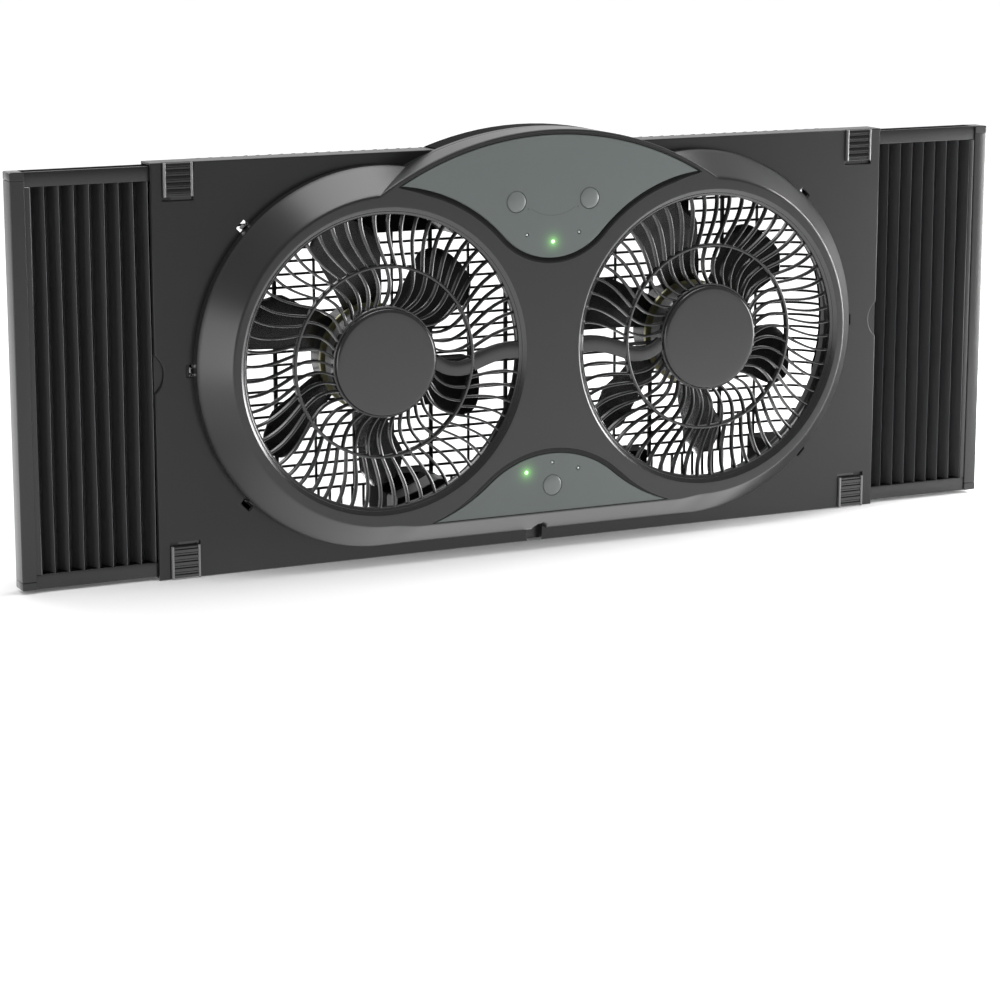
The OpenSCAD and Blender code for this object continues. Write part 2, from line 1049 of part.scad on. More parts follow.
module wiring() {
    lead_r = 1.4;
    lead_d = -21.7;
    lead_z = fan_z - 2;
    lead_x = 12;
    color("dimgray") {
        both_sides()
            translate([0, plate_y + lead_d, 0]) {
                translate([lead_x, 0, lead_z])
                    rotate([0, 90, 0])
                        cylinder(h = fan_x - 31 - lead_x, r = lead_r, $fn = 24);
                translate([lead_x, 0, lead_z])
                    sphere(lead_r, $fn = 24);
                translate([lead_x, 0, lead_z])
                    cylinder(h = 239.9 - lead_z, r = lead_r, $fn = 24);
            }
        translate([0, plate_y + lead_d, 71.1])
            cylinder(h = 239.9 - 71.1, r = lead_r, $fn = 24);
        translate([0, plate_y + board_back, 270])
            rotate([-90, 0, 0])
                cylinder(h = 24 - board_back, r = 3, $fn = 32);
    }
}

main_frame();
front_cover();
front_grille(-1);  // left_front_grille
front_grille(1);  // right_front_grille
hub_cap(-1);  // left_hub_cap
hub_cap(1);  // right_hub_cap
fan_blade(-1);  // left_fan_blade
fan_blade(1);  // right_fan_blade
blade_nut(-1);  // left_blade_nut
blade_nut(1);  // right_blade_nut
motor_shaft(-1);  // left_motor_shaft
motor_shaft(1);  // right_motor_shaft
motor_stator(-1);  // left_motor_stator
motor_stator(1);  // right_motor_stator
motor_windings(-1);  // left_motor_windings
motor_windings(1);  // right_motor_windings
motor_bracket(-1);  // left_motor_bracket
motor_bracket(1);  // right_motor_bracket
motor_bearings();
motor_screws();
rear_grille();
rear_housing();
rear_screws();
expander_frame(-1);  // left_expander_frame
expander_frame(1);  // right_expander_frame
pleat(-1, 1);  // left_pleat_1
pleat(-1, 2);  // left_pleat_2
pleat(-1, 3);  // left_pleat_3
pleat(-1, 4);  // left_pleat_4
pleat(-1, 5);  // left_pleat_5
pleat(-1, 6);  // left_pleat_6
pleat(-1, 7);  // left_pleat_7
pleat(-1, 8);  // left_pleat_8
pleat(-1, 9);  // left_pleat_9
pleat(1, 1);  // right_pleat_1
pleat(1, 2);  // right_pleat_2
pleat(1, 3);  // right_pleat_3
pleat(1, 4);  // right_pleat_4
pleat(1, 5);  // right_pleat_5
pleat(1, 6);  // right_pleat_6
pleat(1, 7);  // right_pleat_7
pleat(1, 8);  // right_pleat_8
pleat(1, 9);  // right_pleat_9
latch(-1, false);  // upper_left_latch
latch(1, false);  // upper_right_latch
latch(-1, true);  // lower_left_latch
latch(1, true);  // lower_right_latch
upper_control_panel();
lower_control_panel();
push_button(speed_button_at);  // fan_speed_button
push_button(power_button_at);  // power_button
push_button(airflow_button_at);  // airflow_button
lamps(lit_lamps, "limegreen");  // lit_indicators
lamps(unlit_lamps, "gray");  // unlit_indicators
upper_control_board();
lower_control_board();
button_switches();
run_capacitors();
wiring();
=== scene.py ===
"""Window fan: a plate with two round grilles, an arched control panel and an accordion panel at each end.

Every piece is made in millimetres as x, d, z and turns to metres when its mesh is made: x runs to the right,
d backwards from the plate's front face, and z up from the sill.
"""

import json
import math

import bmesh
import bpy
import numpy as np
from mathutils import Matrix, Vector
from mathutils.geometry import delaunay_2d_cdt


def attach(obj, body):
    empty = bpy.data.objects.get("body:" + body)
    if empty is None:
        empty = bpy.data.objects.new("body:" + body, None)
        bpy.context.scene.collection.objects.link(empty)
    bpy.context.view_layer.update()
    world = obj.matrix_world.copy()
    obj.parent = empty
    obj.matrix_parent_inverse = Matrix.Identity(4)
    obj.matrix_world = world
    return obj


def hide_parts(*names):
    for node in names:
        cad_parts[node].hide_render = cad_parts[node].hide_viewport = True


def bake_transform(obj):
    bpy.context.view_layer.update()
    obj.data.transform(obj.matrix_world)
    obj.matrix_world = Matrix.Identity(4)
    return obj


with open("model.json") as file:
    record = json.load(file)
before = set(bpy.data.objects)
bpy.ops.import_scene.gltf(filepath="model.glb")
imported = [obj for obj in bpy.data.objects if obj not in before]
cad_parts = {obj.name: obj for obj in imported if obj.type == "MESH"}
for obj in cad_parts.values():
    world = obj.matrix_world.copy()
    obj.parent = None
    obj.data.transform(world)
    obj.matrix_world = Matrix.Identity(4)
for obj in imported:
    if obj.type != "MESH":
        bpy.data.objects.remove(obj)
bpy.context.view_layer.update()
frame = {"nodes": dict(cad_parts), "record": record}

MM = 0.001
SIDES = {"left": -1, "right": 1}

# The plate. Its front face lies PLATE_LEAD behind the frame's origin.
PLATE_LEAD = 12.0
PLATE_W = 630.0
PLATE_H = 314.3
PLATE_D = 21.0
FRONT_WALL = 2.2
BACK_WALL = 1.8
EDGE_WALL = 1.5
INNER_D = PLATE_D - BACK_WALL
SHROUD_R = 115.2
PLATE_HOLE_R = 134.0
FEET_X = [(77, 119), (227, 269)]
FEET_TOP = 57.4
CONTROL_BOX_HALF = 155
CONTROL_BOX_FOOT = 248.7
FINGER_R = 18.0
FINGER_OUT = 11.0
NOTCH_HALF = 6.5
NOTCH_SPRING = 10.5
NOTCH_BACK = (7.2, 8.0)
LATCH_X = 294.0
LATCH_POCKET_HALF = 12.0
LATCH_POCKET_H = 28.3

# The cover and its two openings.
FAN_X = 140.5
FAN_Z = 158.2
COVER_H = 31.5
COVER_FACE = -COVER_H
COVER_WALL = 2.2
COVER_INSIDE = COVER_WALL - COVER_H
COVER_FOOT = 7.0
COVER_X = 137.5
COVER_FRONT_R = 127.0
COVER_FOOT_R = 147.2
ARCH_R = 262.5
ARCH_Z = 66.6
OPENING_R = 118.0
FACE_HOLE_R = OPENING_R + 1.2
TUBE_R = 115.0
TUBE_START = -29.2
TUBE_END = -15.0

# The six snap hooks, as side and angle round the cover's round end, and their slots.
HOOKS = [(side, angle) for side in SIDES.values() for angle in np.radians([-45, 0, 45])]
SLOT_R = (147.6, 152.6)
SLOT_MIDDLE = sum(SLOT_R) / 2
SLOT_HALF = 4.5

# The control panels, with the arc and dots printed on the upper one, the buttons and the lamps.
PANEL_ARCH_R = 258.4
PANEL_ARCH_Z = 66.8
PANEL_FLANK_R = 133.5
PRINT_R = 33.4
PRINT_Z = 296.4
PRINT_FOOT = 269.0
PRINT_DOTS = [(-21.3, 268.8), (21.3, 268.8)]
BUTTONS = {
    "fan_speed_button": (-31.5, 274.8),
    "power_button": (31.5, 274.8),
    "airflow_button": (0.0, 50.9),
}
BUTTON_R = 7.9
LIT_LAMPS = [(0.0, 242.7), (-22.5, 62.6)]
UNLIT_LAMPS = [(-22.5, 249.0), (22.5, 249.0), (0.0, 69.0), (22.7, 62.6)]

# The grilles, their hub caps and the rotors.
GRILLE_FRONT = -28.0
GRILLE_BACK = -23.5
RING_R = 74.5
HUB_R = 43.0
CAP_R = 41.5
RIB_W = 1.8
OUTER_RIBS = (73.4, 114.4)
INNER_RIBS = (41.8, 73.0)
BLADE_D = 14.0
BLADE_ROOT_R = 36.6
BLADE_TIP_R = 105.0

# The side panels.
SIDE_X = 421.0
SIDE_FRONT = 2.3
SIDE_BACK = 19.0
CHANNEL_FOOT = 13.6
PLEAT_PITCH = 11.3
PLEAT_SHARE = 0.0965
RIDGE_0 = 406.0
FOLD_DEPTHS = (4.0, 16.5)
SHEET = 0.8


# ---- Curves and outlines in the x-z plane ----


def arc(x, z, r, start, end, count):
    """Points of an arc about (x, z), angles in degrees from +x towards +z."""
    angle = np.radians(np.linspace(start, end, count))
    return np.column_stack([x + r * np.cos(angle), z + r * np.sin(angle)])


def circle(x, z, r, count=192):
    """A closed circle, counterclockwise, without a repeated end."""
    return arc(x, z, r, 0, 360, count + 1)[:-1]


def crossing(a, a_r, b, b_r):
    """Where circles about a and b cross, on the right of the line from a to b.

    The place along this line is (c^2 + a_r^2 - b_r^2) / 2c from a, where c is the distance from a to b.
    """
    apart = math.dist(a, b)
    towards = np.subtract(b, a) / apart
    along = (apart**2 + a_r**2 - b_r**2) / (2 * apart)
    off = math.sqrt(a_r**2 - along**2)
    return np.array(a) + along * towards + off * np.array([towards[1], -towards[0]])


def bearing(point, x, z):
    """Angle in degrees at which a point lies as seen from (x, z)."""
    return math.degrees(math.atan2(point[1] - z, point[0] - x))


def area(loop):
    """Signed area of a closed loop, positive when it runs counterclockwise."""
    after = np.roll(loop, -1, axis=0)
    return 0.5 * np.sum(loop[:, 0] * after[:, 1] - after[:, 0] * loop[:, 1])


def outside(loop):
    """The loop, run counterclockwise."""
    return loop if area(loop) > 0 else loop[::-1]


def hole(loop):
    """The loop, run clockwise."""
    return loop if area(loop) < 0 else loop[::-1]


def mirror(line):
    """The line on the other side of x = 0, run backwards."""
    return line[::-1] * (-1, 1)


def unit(vectors):
    """The same directions with length 1."""
    return vectors / np.maximum(np.linalg.norm(vectors, axis=-1, keepdims=True), 1e-12)


def inset(loop, distance):
    """Moves every corner of a closed loop to its left by distance, along the mitre (a + b) / (1 + a.b)."""
    before = unit(loop - np.roll(loop, 1, axis=0))
    after = unit(np.roll(loop, -1, axis=0) - loop)
    a = np.column_stack([-before[:, 1], before[:, 0]])
    b = np.column_stack([-after[:, 1], after[:, 0]])
    together = np.maximum(1 + np.sum(a * b, axis=1), 0.4)
    return loop + np.reshape(distance, (-1, 1)) * (a + b) / together[:, None]


def rounded(corners, radii, steps=5):
    """Closed loop through corners, each replaced by a tangent arc of its radius."""
    corners = np.asarray(corners, float)
    radii = np.broadcast_to(np.asarray(radii, float), len(corners))
    points = []
    for i, corner in enumerate(corners):
        if radii[i] <= 0:
            points.append(corner[None])
            continue
        to_before = unit(corners[i - 1] - corner)
        to_after = unit(corners[(i + 1) % len(corners)] - corner)
        half = 0.5 * math.acos(float(np.clip(to_before @ to_after, -1, 1)))
        reach = radii[i] / math.tan(half)
        centre = corner + unit(to_before + to_after) * radii[i] / math.sin(half)
        start = corner + to_before * reach - centre
        end = corner + to_after * reach - centre
        turn = math.atan2(start[0] * end[1] - start[1] * end[0], start @ end)
        angle = math.atan2(start[1], start[0]) + np.linspace(0, turn, steps)
        points.append(centre + radii[i] * np.column_stack([np.cos(angle), np.sin(angle)]))
    return np.concatenate(points)


def edge_profile(front, back, front_r, back_r, steps=4, hold=0.5):
    """(inset, depth) steps of a slab's edge: a quarter round at each face and a strip that holds it flat."""
    angle = np.linspace(0, np.pi / 2, steps)
    rows = [(0, front)]
    if front_r:
        rows = [(front_r + hold, front)]
        rows += [(front_r * (1 - math.sin(t)), front + front_r * (1 - math.cos(t))) for t in angle]
    if not back_r:
        return rows + [(0, back)]
    rows += [(back_r * (1 - math.cos(t)), back - back_r * (1 - math.sin(t))) for t in angle]
    return rows + [(back_r + hold, back)]


def at_depth(points, depth):
    """Plane points (x, z) as (x, depth, z)."""
    return np.column_stack([points[:, 0], np.full(len(points), float(depth)), points[:, 1]])


# ---- Pieces ----


class Piece:
    """Patches of one object's surface, in millimetres as x, d, z."""

    def __init__(self):
        self.points = []
        self.faces = []
        self.size = 0

    def add(self, points, faces):
        """Adds a patch: its points, and faces that number them."""
        points = np.asarray(points, float).reshape(-1, 3)
        self.points.append(points)
        self.faces.append(np.asarray(faces) + self.size)
        self.size += len(points)

    def join(self, part):
        """Adds all patches of another piece."""
        self.points += part.points
        self.faces += [faces + self.size for faces in part.faces]
        self.size += part.size

    def grid(self, points, around=False, along=False):
        """Quads between rows of points; around joins the last column to the first, and along the last row."""
        points = np.asarray(points, float)
        rows, columns = points.shape[:2]
        index = np.arange(rows * columns).reshape(rows, columns)
        if around:
            index = np.concatenate([index, index[:, :1]], axis=1)
        if along:
            index = np.concatenate([index, index[:1]], axis=0)
        quads = np.stack([index[:-1, :-1], index[:-1, 1:], index[1:, 1:], index[1:, :-1]], axis=-1)
        self.add(points, quads.reshape(-1, 4))

    def fill(self, loops, place):
        """Flat face inside the first closed loop and outside the others; place turns plane points to x, d, z.

        A triangle is kept where a line from its middle towards +x crosses the loops an odd number of times.
        """
        points = np.concatenate(loops)
        edges = []
        start = 0
        for loop in loops:
            ids = np.arange(start, start + len(loop))
            edges += list(zip(ids.tolist(), np.roll(ids, -1).tolist()))
            start += len(loop)
        made = delaunay_2d_cdt([Vector(p) for p in points], edges, [], 0, 1e-6)
        corners = np.array([points[ids[0]] if ids else tuple(made[0][i]) for i, ids in enumerate(made[3])])
        triangles = np.array(made[2])
        middle = corners[triangles].mean(axis=1)
        a = points[[e[0] for e in edges]]
        b = points[[e[1] for e in edges]]
        crosses = (a[None, :, 1] > middle[:, 1:]) != (b[None, :, 1] > middle[:, 1:])
        rise = np.where(np.abs(b[:, 1] - a[:, 1]) < 1e-12, 1e-12, b[:, 1] - a[:, 1])
        at = a[:, 0] + (middle[:, 1:] - a[:, 1]) * (b[:, 0] - a[:, 0]) / rise
        inside = np.sum(crosses & (middle[:, :1] < at), axis=1) % 2 == 1
        self.add(place(corners), triangles[inside])

    def face(self, loops, depth):
        """Flat face at a depth, inside the first loop and outside the others."""
        self.fill(loops, lambda points: at_depth(points, depth))

    def slab(self, loops, profile):
        """Slab of an outline and its holes, with edges that follow profile, a list of (inset, depth)."""
        rings = [[inset(loop, s) for s, _ in profile] for loop in loops]
        for ring in rings:
            self.grid([at_depth(p, d) for p, (_, d) in zip(ring, profile)], around=True)
        self.face([ring[0] for ring in rings], profile[0][1])
        self.face([ring[-1] for ring in rings], profile[-1][1])

    def turned(self, profile, x=0.0, z=0.0, count=128, closed=False):
        """Turns a line of (radius, depth) about the axis through x, z."""
        profile = np.asarray(profile, float)
        angle = np.linspace(0, 2 * np.pi, count, endpoint=False)
        r = profile[:, 0][:, None]
        d = np.broadcast_to(profile[:, 1][:, None], (len(profile), count))
        points = np.stack([x + r * np.cos(angle), d, z + r * np.sin(angle)], axis=-1)
        self.grid(points, around=True, along=closed)

    def bar(self, loop, low, high, axis):
        """Sweeps a closed loop of the other two coordinates along axis, from low to high, with flat ends."""
        others = [i for i in range(3) if i != axis]

        def place(points, value):
            out = np.empty((len(points), 3))
            out[:, others] = points
            out[:, axis] = value
            return out

        self.grid([place(loop, low), place(loop, high)], around=True)
        self.fill([loop], lambda points: place(points, low))
        self.fill([loop], lambda points: place(points, high))

    def box(self, x, d, z, r=0.3):
        """Box between two x, two d and two z, with its front and back outlines rounded by r."""
        corner_r = r and r + 0.25
        loop = rounded([(x[0], z[0]), (x[1], z[0]), (x[1], z[1]), (x[0], z[1])], corner_r, 3)
        self.slab([loop], edge_profile(d[0], d[1], r, r, 3, 0.15))

    def close_end(self, row):
        """Joins the first half of a closed row to the second, which runs back behind it."""
        half = len(row) // 2
        self.grid([row[:half], row[half:][::-1]])

    def placed(self, x_sign=1, z_sign=1, x=0.0, z=0.0):
        """The same patches, turned over where a sign is -1 and then moved by x and z."""
        for points in self.points:
            points[:, 0] = points[:, 0] * x_sign + x
            points[:, 2] = points[:, 2] * z_sign + z
        return self

    def build(self, name, skin, sharp=32.0):
        """Makes the object: joined points, outward faces, smooth shading with sharp edges above an angle."""
        points = np.concatenate(self.points)
        keys = np.round(points / 0.004).astype(np.int64)
        _, first, index = np.unique(keys, axis=0, return_index=True, return_inverse=True)
        index = index.reshape(-1)
        faces = []
        for block in self.faces:
            for face in index[block].tolist():
                corners = list(dict.fromkeys(face))
                if len(corners) > 2:
                    faces.append(corners)
        points = points[first] - (0, PLATE_LEAD, 0)
        mesh = bpy.data.meshes.new(name)
        mesh.from_pydata((points * MM).tolist(), [], faces)
        work = bmesh.new()
        work.from_mesh(mesh)
        bmesh.ops.recalc_face_normals(work, faces=work.faces)
        work.to_mesh(mesh)
        work.free()
        mesh.shade_smooth()
        mesh.set_sharp_from_angle(angle=math.radians(sharp))
        mesh.materials.append(skin)
        made = bpy.data.objects.new(name, mesh)
        bpy.context.scene.collection.objects.link(made)
        return made

    def install(self, name, skin, body, slot, *nodes, sharp=32.0):
        """Builds the object on its body with the finish skin, in place of the CAD nodes named; slot is not
        used.
        """
        made = self.build(name, skin, sharp)
        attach(made, body)
        if nodes:
            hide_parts(*nodes)


# ---- Materials ----


class Field:
    """A value that varies over a surface, written as arithmetic on shader sockets."""

    def __init__(self, nodes, socket):
        self.nodes = nodes
        self.socket = socket

    def maths(self, operation, *others, first=None):
        values = (self, *others) if first is None else (first, self)
        made = self.nodes.node("ShaderNodeMath", dict(enumerate(values)), operation=operation)
        return Field(self.nodes, made.outputs[0])

    def __add__(self, other):
        return self.maths("ADD", other)

    def __radd__(self, other):
        return self.maths("ADD", first=other)

    def __sub__(self, other):
        return self.maths("SUBTRACT", other)

    def __rsub__(self, other):
        return self.maths("SUBTRACT", first=other)

    def __mul__(self, other):
        return self.maths("MULTIPLY", other)

    def __rmul__(self, other):
        return self.maths("MULTIPLY", first=other)

    def __pow__(self, other):
        return self.maths("POWER", other)

    def __abs__(self):
        return self.maths("ABSOLUTE")

    def clipped(self):
        return self.maths("MINIMUM", 1.0).maths("MAXIMUM", 0.0)


def hypotenuse(x, z):
    """Length of the vector (x, z), for fields."""
    return (x**2 + z**2) ** 0.5


class Nodes:
    """A node tree, with short ways to add nodes to it."""

    def __init__(self, tree):
        self.tree = tree

    def connect(self, socket, value):
        """Links a socket to a field or to another socket, or gives it a plain value."""
        if isinstance(value, Field):
            value = value.socket
        if isinstance(value, bpy.types.NodeSocket):
            self.tree.links.new(value, socket)
        else:
            socket.default_value = (*value, 1) if socket.type == "RGBA" else value

    def node(self, kind, inputs=None, **settings):
        """Adds a node, sets its settings and then its inputs, each found by its name or number."""
        made = self.tree.nodes.new(kind)
        for key, value in settings.items():
            setattr(made, key, value)
        for key, value in (inputs or {}).items():
            self.connect(made.inputs[key], value)
        return made

    def field(self, kind, output, inputs=None):
        """Adds a node and gives one of its outputs as a field."""
        return Field(self, self.node(kind, inputs).outputs[output])

    def mix(self, share, first, second):
        """Colour that runs from first to second as share runs from 0 to 1."""
        first_socket, second_socket, result = 6, 7, 2
        inputs = {"Factor": share, first_socket: first, second_socket: second}
        return self.node("ShaderNodeMix", inputs, data_type="RGBA").outputs[result]

    def rays(self, *kinds):
        """Fields that are 1 for rays of these kinds and 0 for others."""
        made = self.node("ShaderNodeLightPath")
        return [Field(self, made.outputs[kind]) for kind in kinds]


class Shader(Nodes):
    """One material with its Principled node; its patterns read Object coordinates."""

    def __init__(self, name, **constants):
        self.name = name
        self.material = bpy.data.materials.new(name)
        self.material.use_nodes = True
        super().__init__(self.material.node_tree)
        self.surface = self.tree.nodes["Principled BSDF"]
        for key, value in constants.items():
            self.set(key.replace("_", " "), value)
        self.place = self.node("ShaderNodeTexCoord").outputs["Object"]

    def set(self, name, value):
        """Connects an input of the Principled node."""
        self.connect(self.surface.inputs[name], value)

    def noise(self, scale, detail=3.0, rough=0.5, vector=None):
        inputs = {"Vector": vector or self.place, "Scale": scale, "Detail": detail, "Roughness": rough}
        return self.field("ShaderNodeTexNoise", "Fac", inputs)

    def stretched(self, x, y, z):
        """Object coordinates times these scales."""
        made = self.node("ShaderNodeMapping", {"Vector": self.place, "Scale": (x, y, z)})
        return made.outputs["Vector"]

    def axis(self, name):
        """One of the Object coordinates, in metres."""
        return self.field("ShaderNodeSeparateXYZ", name, {"Vector": self.place})

    def tint(self, share, dark, light):
        """Base colour that runs from dark to light as share runs from 0 to 1."""
        colour = self.mix(share, dark, light)
        self.set("Base Color", colour)
        return colour

    def bump(self, height, distance):
        made = self.node("ShaderNodeBump", {"Height": height, "Distance": distance, "Strength": 1.0})
        self.set("Normal", made.outputs["Normal"])

    def shine(self, colour, strength):
        """Light that the surface gives off."""
        self.set("Emission Color", colour)
        self.set("Emission Strength", strength)


def scaled(colour, factor):
    """The colour with each channel times factor."""
    return tuple(min(1.0, channel * factor) for channel in colour)


# Depths of a surface's grain, in metres.
COARSE = 0.00003
EVEN = 0.00002
FINE = 0.00001
POLISHED = 0.000005


def plastic(name, colour, rough, specular=0.5, grain=EVEN, spread=0.08):
    """Moulded plastic: a fine even grain, faint flow marks, and a finish that varies a little."""
    shader = Shader(name, Specular_IOR_Level=specular)
    flow = shader.noise(9.0, 2.0, vector=shader.stretched(1, 1, 0.35))
    fine = shader.noise(2600.0, 2.0)
    shader.tint(flow * 0.75 + fine * 0.25, scaled(colour, 1 - spread), scaled(colour, 1 + spread))
    shader.set("Roughness", flow * 0.05 + fine * 0.06 + (rough - 0.055))
    shader.bump(fine, grain)
    return shader


def brushed(name, dark, light, rough, scale):
    """Drawn or stamped metal, with marks that run one way."""
    shader = Shader(name, Metallic=1.0)
    marks = shader.noise(60.0, 4.0, vector=shader.stretched(*scale))
    shader.tint(marks, dark, light)
    shader.set("Roughness", marks * 0.2 + (rough - 0.1))
    shader.bump(marks, EVEN)
    return shader


def make_materials():
    """One material for every slot of the record, and a few that only the scene's own pieces take."""
    made = [
        plastic("charcoal_plastic", (0.016, 0.016, 0.0165), 0.34, 0.42),
        plastic("cover_gloss", (0.015, 0.015, 0.0155), 0.30, 0.45, FINE),
        plastic("latch_gloss", (0.009, 0.009, 0.0095), 0.17, 0.55, FINE),
        # Pocket edges round the panels: darker than the cover, painted shade at the recess edge.
        plastic("bevel_painted_shade", (0.006, 0.006, 0.0063), 0.26, 0.22, FINE),
        plastic("frame_plastic", (0.015, 0.015, 0.0155), 0.23, 0.4),
        # Latch rims: pale grey, a painted highlight along the raised rims on top of their real gloss.
        plastic("rim_painted_highlight", (0.11, 0.11, 0.112), 0.16, 0.9, FINE),
        plastic("cap_gloss", (0.015, 0.015, 0.0155), 0.2, 0.55, FINE),
        plastic("lip_gloss", (0.010, 0.010, 0.0105), 0.2, 0.8, FINE),
        plastic("plate_plastic", (0.0105, 0.0105, 0.011), 0.33, 0.33),
        plastic("tube_shade", (0.008, 0.008, 0.0082), 0.42, 0.06),
        pleat_sheet(),
        plastic("black_plastic", (0.006, 0.006, 0.0062), 0.5, 0.16),
        plastic("blade_plastic", (0.008, 0.008, 0.0085), 0.24),
        panel_plastic(),
        plastic("button_plastic", (0.125, 0.140, 0.135), 0.30, 0.5, FINE, 0.04),
        lit_lens(),
        # Unlit lamp lens: its pale grey is a painted glint, the reflection a clear lens would show.
        plastic("lamp_clear", (0.50, 0.54, 0.52), 0.14, 0.5, POLISHED, 0.05),
        brushed("steel", (0.42, 0.42, 0.43), (0.66, 0.66, 0.67), 0.3, (1, 14, 1)),
        laminations(),
        copper_winding(),
        zinc_bracket(),
        brushed("bearing_bronze", (0.45, 0.30, 0.12), (0.66, 0.47, 0.22), 0.36, (9, 9, 9)),
        circuit_board(),
        plastic("dark_component", (0.024, 0.024, 0.026), 0.45),
        plastic("housing_matt", (0.004, 0.004, 0.0041), 0.6, 0.02),
        plastic("cable_rubber", (0.016, 0.016, 0.016), 0.6, 0.5, COARSE),
    ]
    return {shader.name: shader.material for shader in made}


def pleat_sheet():
    """Thin folded sheet of soft dark plastic, faintly marked by rolling, with a painted highlight along its
    front folds.
    """
    shader = Shader("pleat_sheet", Specular_IOR_Level=0.45)
    roll = shader.noise(42.0, 4.0, 0.6, shader.stretched(6, 6, 0.12))
    fine = shader.noise(1900.0, 2.0)
    # Painted highlight: the sheet turns pale within a third of a millimetre of the front folds' depth.
    highlight_start = -7.6 * MM
    highlight_depth = MM / 3
    fold = ((shader.axis("Y") - highlight_start) * (-1 / highlight_depth)).clipped()
    shader.tint(roll * 0.06 + fine * 0.03 + fold * 0.9, (0.022, 0.022, 0.023), (0.30, 0.30, 0.305))
    shader.set("Roughness", roll * 0.12 + 0.38)
    shader.bump(roll * 0.8 + fine * 0.2, 0.00005)
    return shader


def panel_plastic():
    """Grey-green satin overlay, with a thin printed arc between two dots and the lit lamps' green glow on it.

    The arc is where the distance from its centre is within half a line's width of its radius.
    """
    shader = Shader("panel_plastic", Specular_IOR_Level=0.45)
    flow = shader.noise(14.0, 2.0)
    fine = shader.noise(2400.0, 2.0)
    x = shader.axis("X")
    z = shader.axis("Z")
    line_half = 0.32 * MM
    dot_r = 0.9 * MM
    glow_reach = 2.5 * MM
    from_line = abs(hypotenuse(x, z - PRINT_Z * MM) - PRINT_R * MM)
    below = (PRINT_FOOT * MM - z).maths("GREATER_THAN", 0.0)
    ink = from_line.maths("LESS_THAN", line_half) * below
    for dot_x, dot_z in PRINT_DOTS:
        from_dot = hypotenuse(x - dot_x * MM, z - dot_z * MM)
        ink = ink.maths("MAXIMUM", from_dot.maths("LESS_THAN", dot_r))
    grain = shader.tint(flow * 0.7 + fine * 0.3, (0.086, 0.100, 0.096), (0.099, 0.115, 0.110))
    shader.tint(ink * 0.62, grain, (0.045, 0.052, 0.052))
    shader.set("Roughness", flow * 0.05 + fine * 0.05 + 0.36)
    shader.bump(fine, FINE)
    from_lamps = [hypotenuse(x - lamp_x * MM, z - lamp_z * MM) for lamp_x, lamp_z in LIT_LAMPS]
    upper_glow, lower_glow = ((far * (-1 / glow_reach)).maths("EXPONENT") for far in from_lamps)
    shader.shine(shader.mix(upper_glow + lower_glow, (0, 0, 0), (0.30, 0.95, 0.20)), 1.1)
    return shader


def lit_lens():
    """Lamp lens that is lit green, with a fine sparkle."""
    shader = Shader("lamp_green", Roughness=0.2)
    speck = shader.noise(900.0, 1.0)
    shader.tint(speck, (0.25, 0.80, 0.20), (0.45, 0.95, 0.35))
    shader.shine(shader.mix(speck, (0.45, 1.0, 0.36), (0.75, 1.0, 0.62)), 1.6)
    return shader


def laminations():
    """Stack of stamped steel sheets, seen as fine lines across the depth, one every half millimetre."""
    shader = Shader("laminations", Metallic=0.9)
    turns = shader.axis("Y") * (2 * math.pi / (0.5 * MM))
    sheets = turns.maths("SINE") * 0.5 + 0.5
    stain = shader.noise(120.0, 3.0)
    shader.tint(sheets * 0.6 + stain * 0.4, (0.10, 0.10, 0.10), (0.34, 0.34, 0.35))
    shader.set("Roughness", stain * 0.2 + 0.35)
    shader.bump(sheets, 0.0001)
    return shader


def copper_winding():
    """Enamelled wire laid side by side, darker where the varnish is thick."""
    shader = Shader("copper_winding", Metallic=0.75)
    wires = shader.noise(260.0, 3.0, 0.6, shader.stretched(1, 5, 1))
    shader.tint(wires, (0.20, 0.12, 0.035), (0.62, 0.46, 0.16))
    shader.set("Roughness", wires * 0.2 + 0.22)
    shader.bump(wires, 0.0004)
    return shader


def zinc_bracket():
    """Yellow chromated zinc, with hues that shift from olive to straw."""
    shader = Shader("zinc_bracket", Metallic=0.8)
    hue = shader.noise(70.0, 3.0)
    shader.tint(hue, (0.16, 0.155, 0.075), (0.42, 0.40, 0.23))
    shader.set("Roughness", hue * 0.2 + 0.25)
    shader.bump(shader.noise(700.0, 2.0), EVEN)
    return shader


def circuit_board():
    """Green solder mask over copper tracks."""
    shader = Shader("circuit_board", Specular_IOR_Level=0.5)
    inputs = {"Vector": shader.stretched(1, 0, 1), "Scale": 120.0, "Mortar Size": 0.04}
    track = shader.field("ShaderNodeTexBrick", "Fac", inputs)
    shader.tint(track, (0.010, 0.085, 0.030), (0.035, 0.20, 0.075))
    shader.set("Roughness", track * 0.1 + 0.3)
    shader.bump(track, COARSE)
    return shader


# ---- Plate ----


def latch_pocket(x, z, up):
    """Corners of the pocket round a latch, from the plate's edge at height z; up is 1 or -1."""
    near = x - up * LATCH_POCKET_HALF
    far = x + up * LATCH_POCKET_HALF
    inner = z + up * LATCH_POCKET_H
    return [(near, z), (near, inner), (far, inner), (far, z)]


def plate_edge(bottom=(), top=()):
    """Outline of a wall of the plate, with a finger notch in each end, an arc about a point beyond it.

    Bottom and top hold the corners of the notches in the lower and in the upper edge.
    """
    half = PLATE_W / 2
    swing = math.degrees(math.acos(FINGER_OUT / FINGER_R))
    finger = arc(half + FINGER_OUT, PLATE_H / 2, FINGER_R, 180 + swing, 180 - swing, 25)
    lower = [(-half, 0.0), *bottom, (half, 0.0)]
    upper = [(half, PLATE_H), *top, (-half, PLATE_H)]
    return np.array([*lower, *finger, *upper, *mirror(finger)])


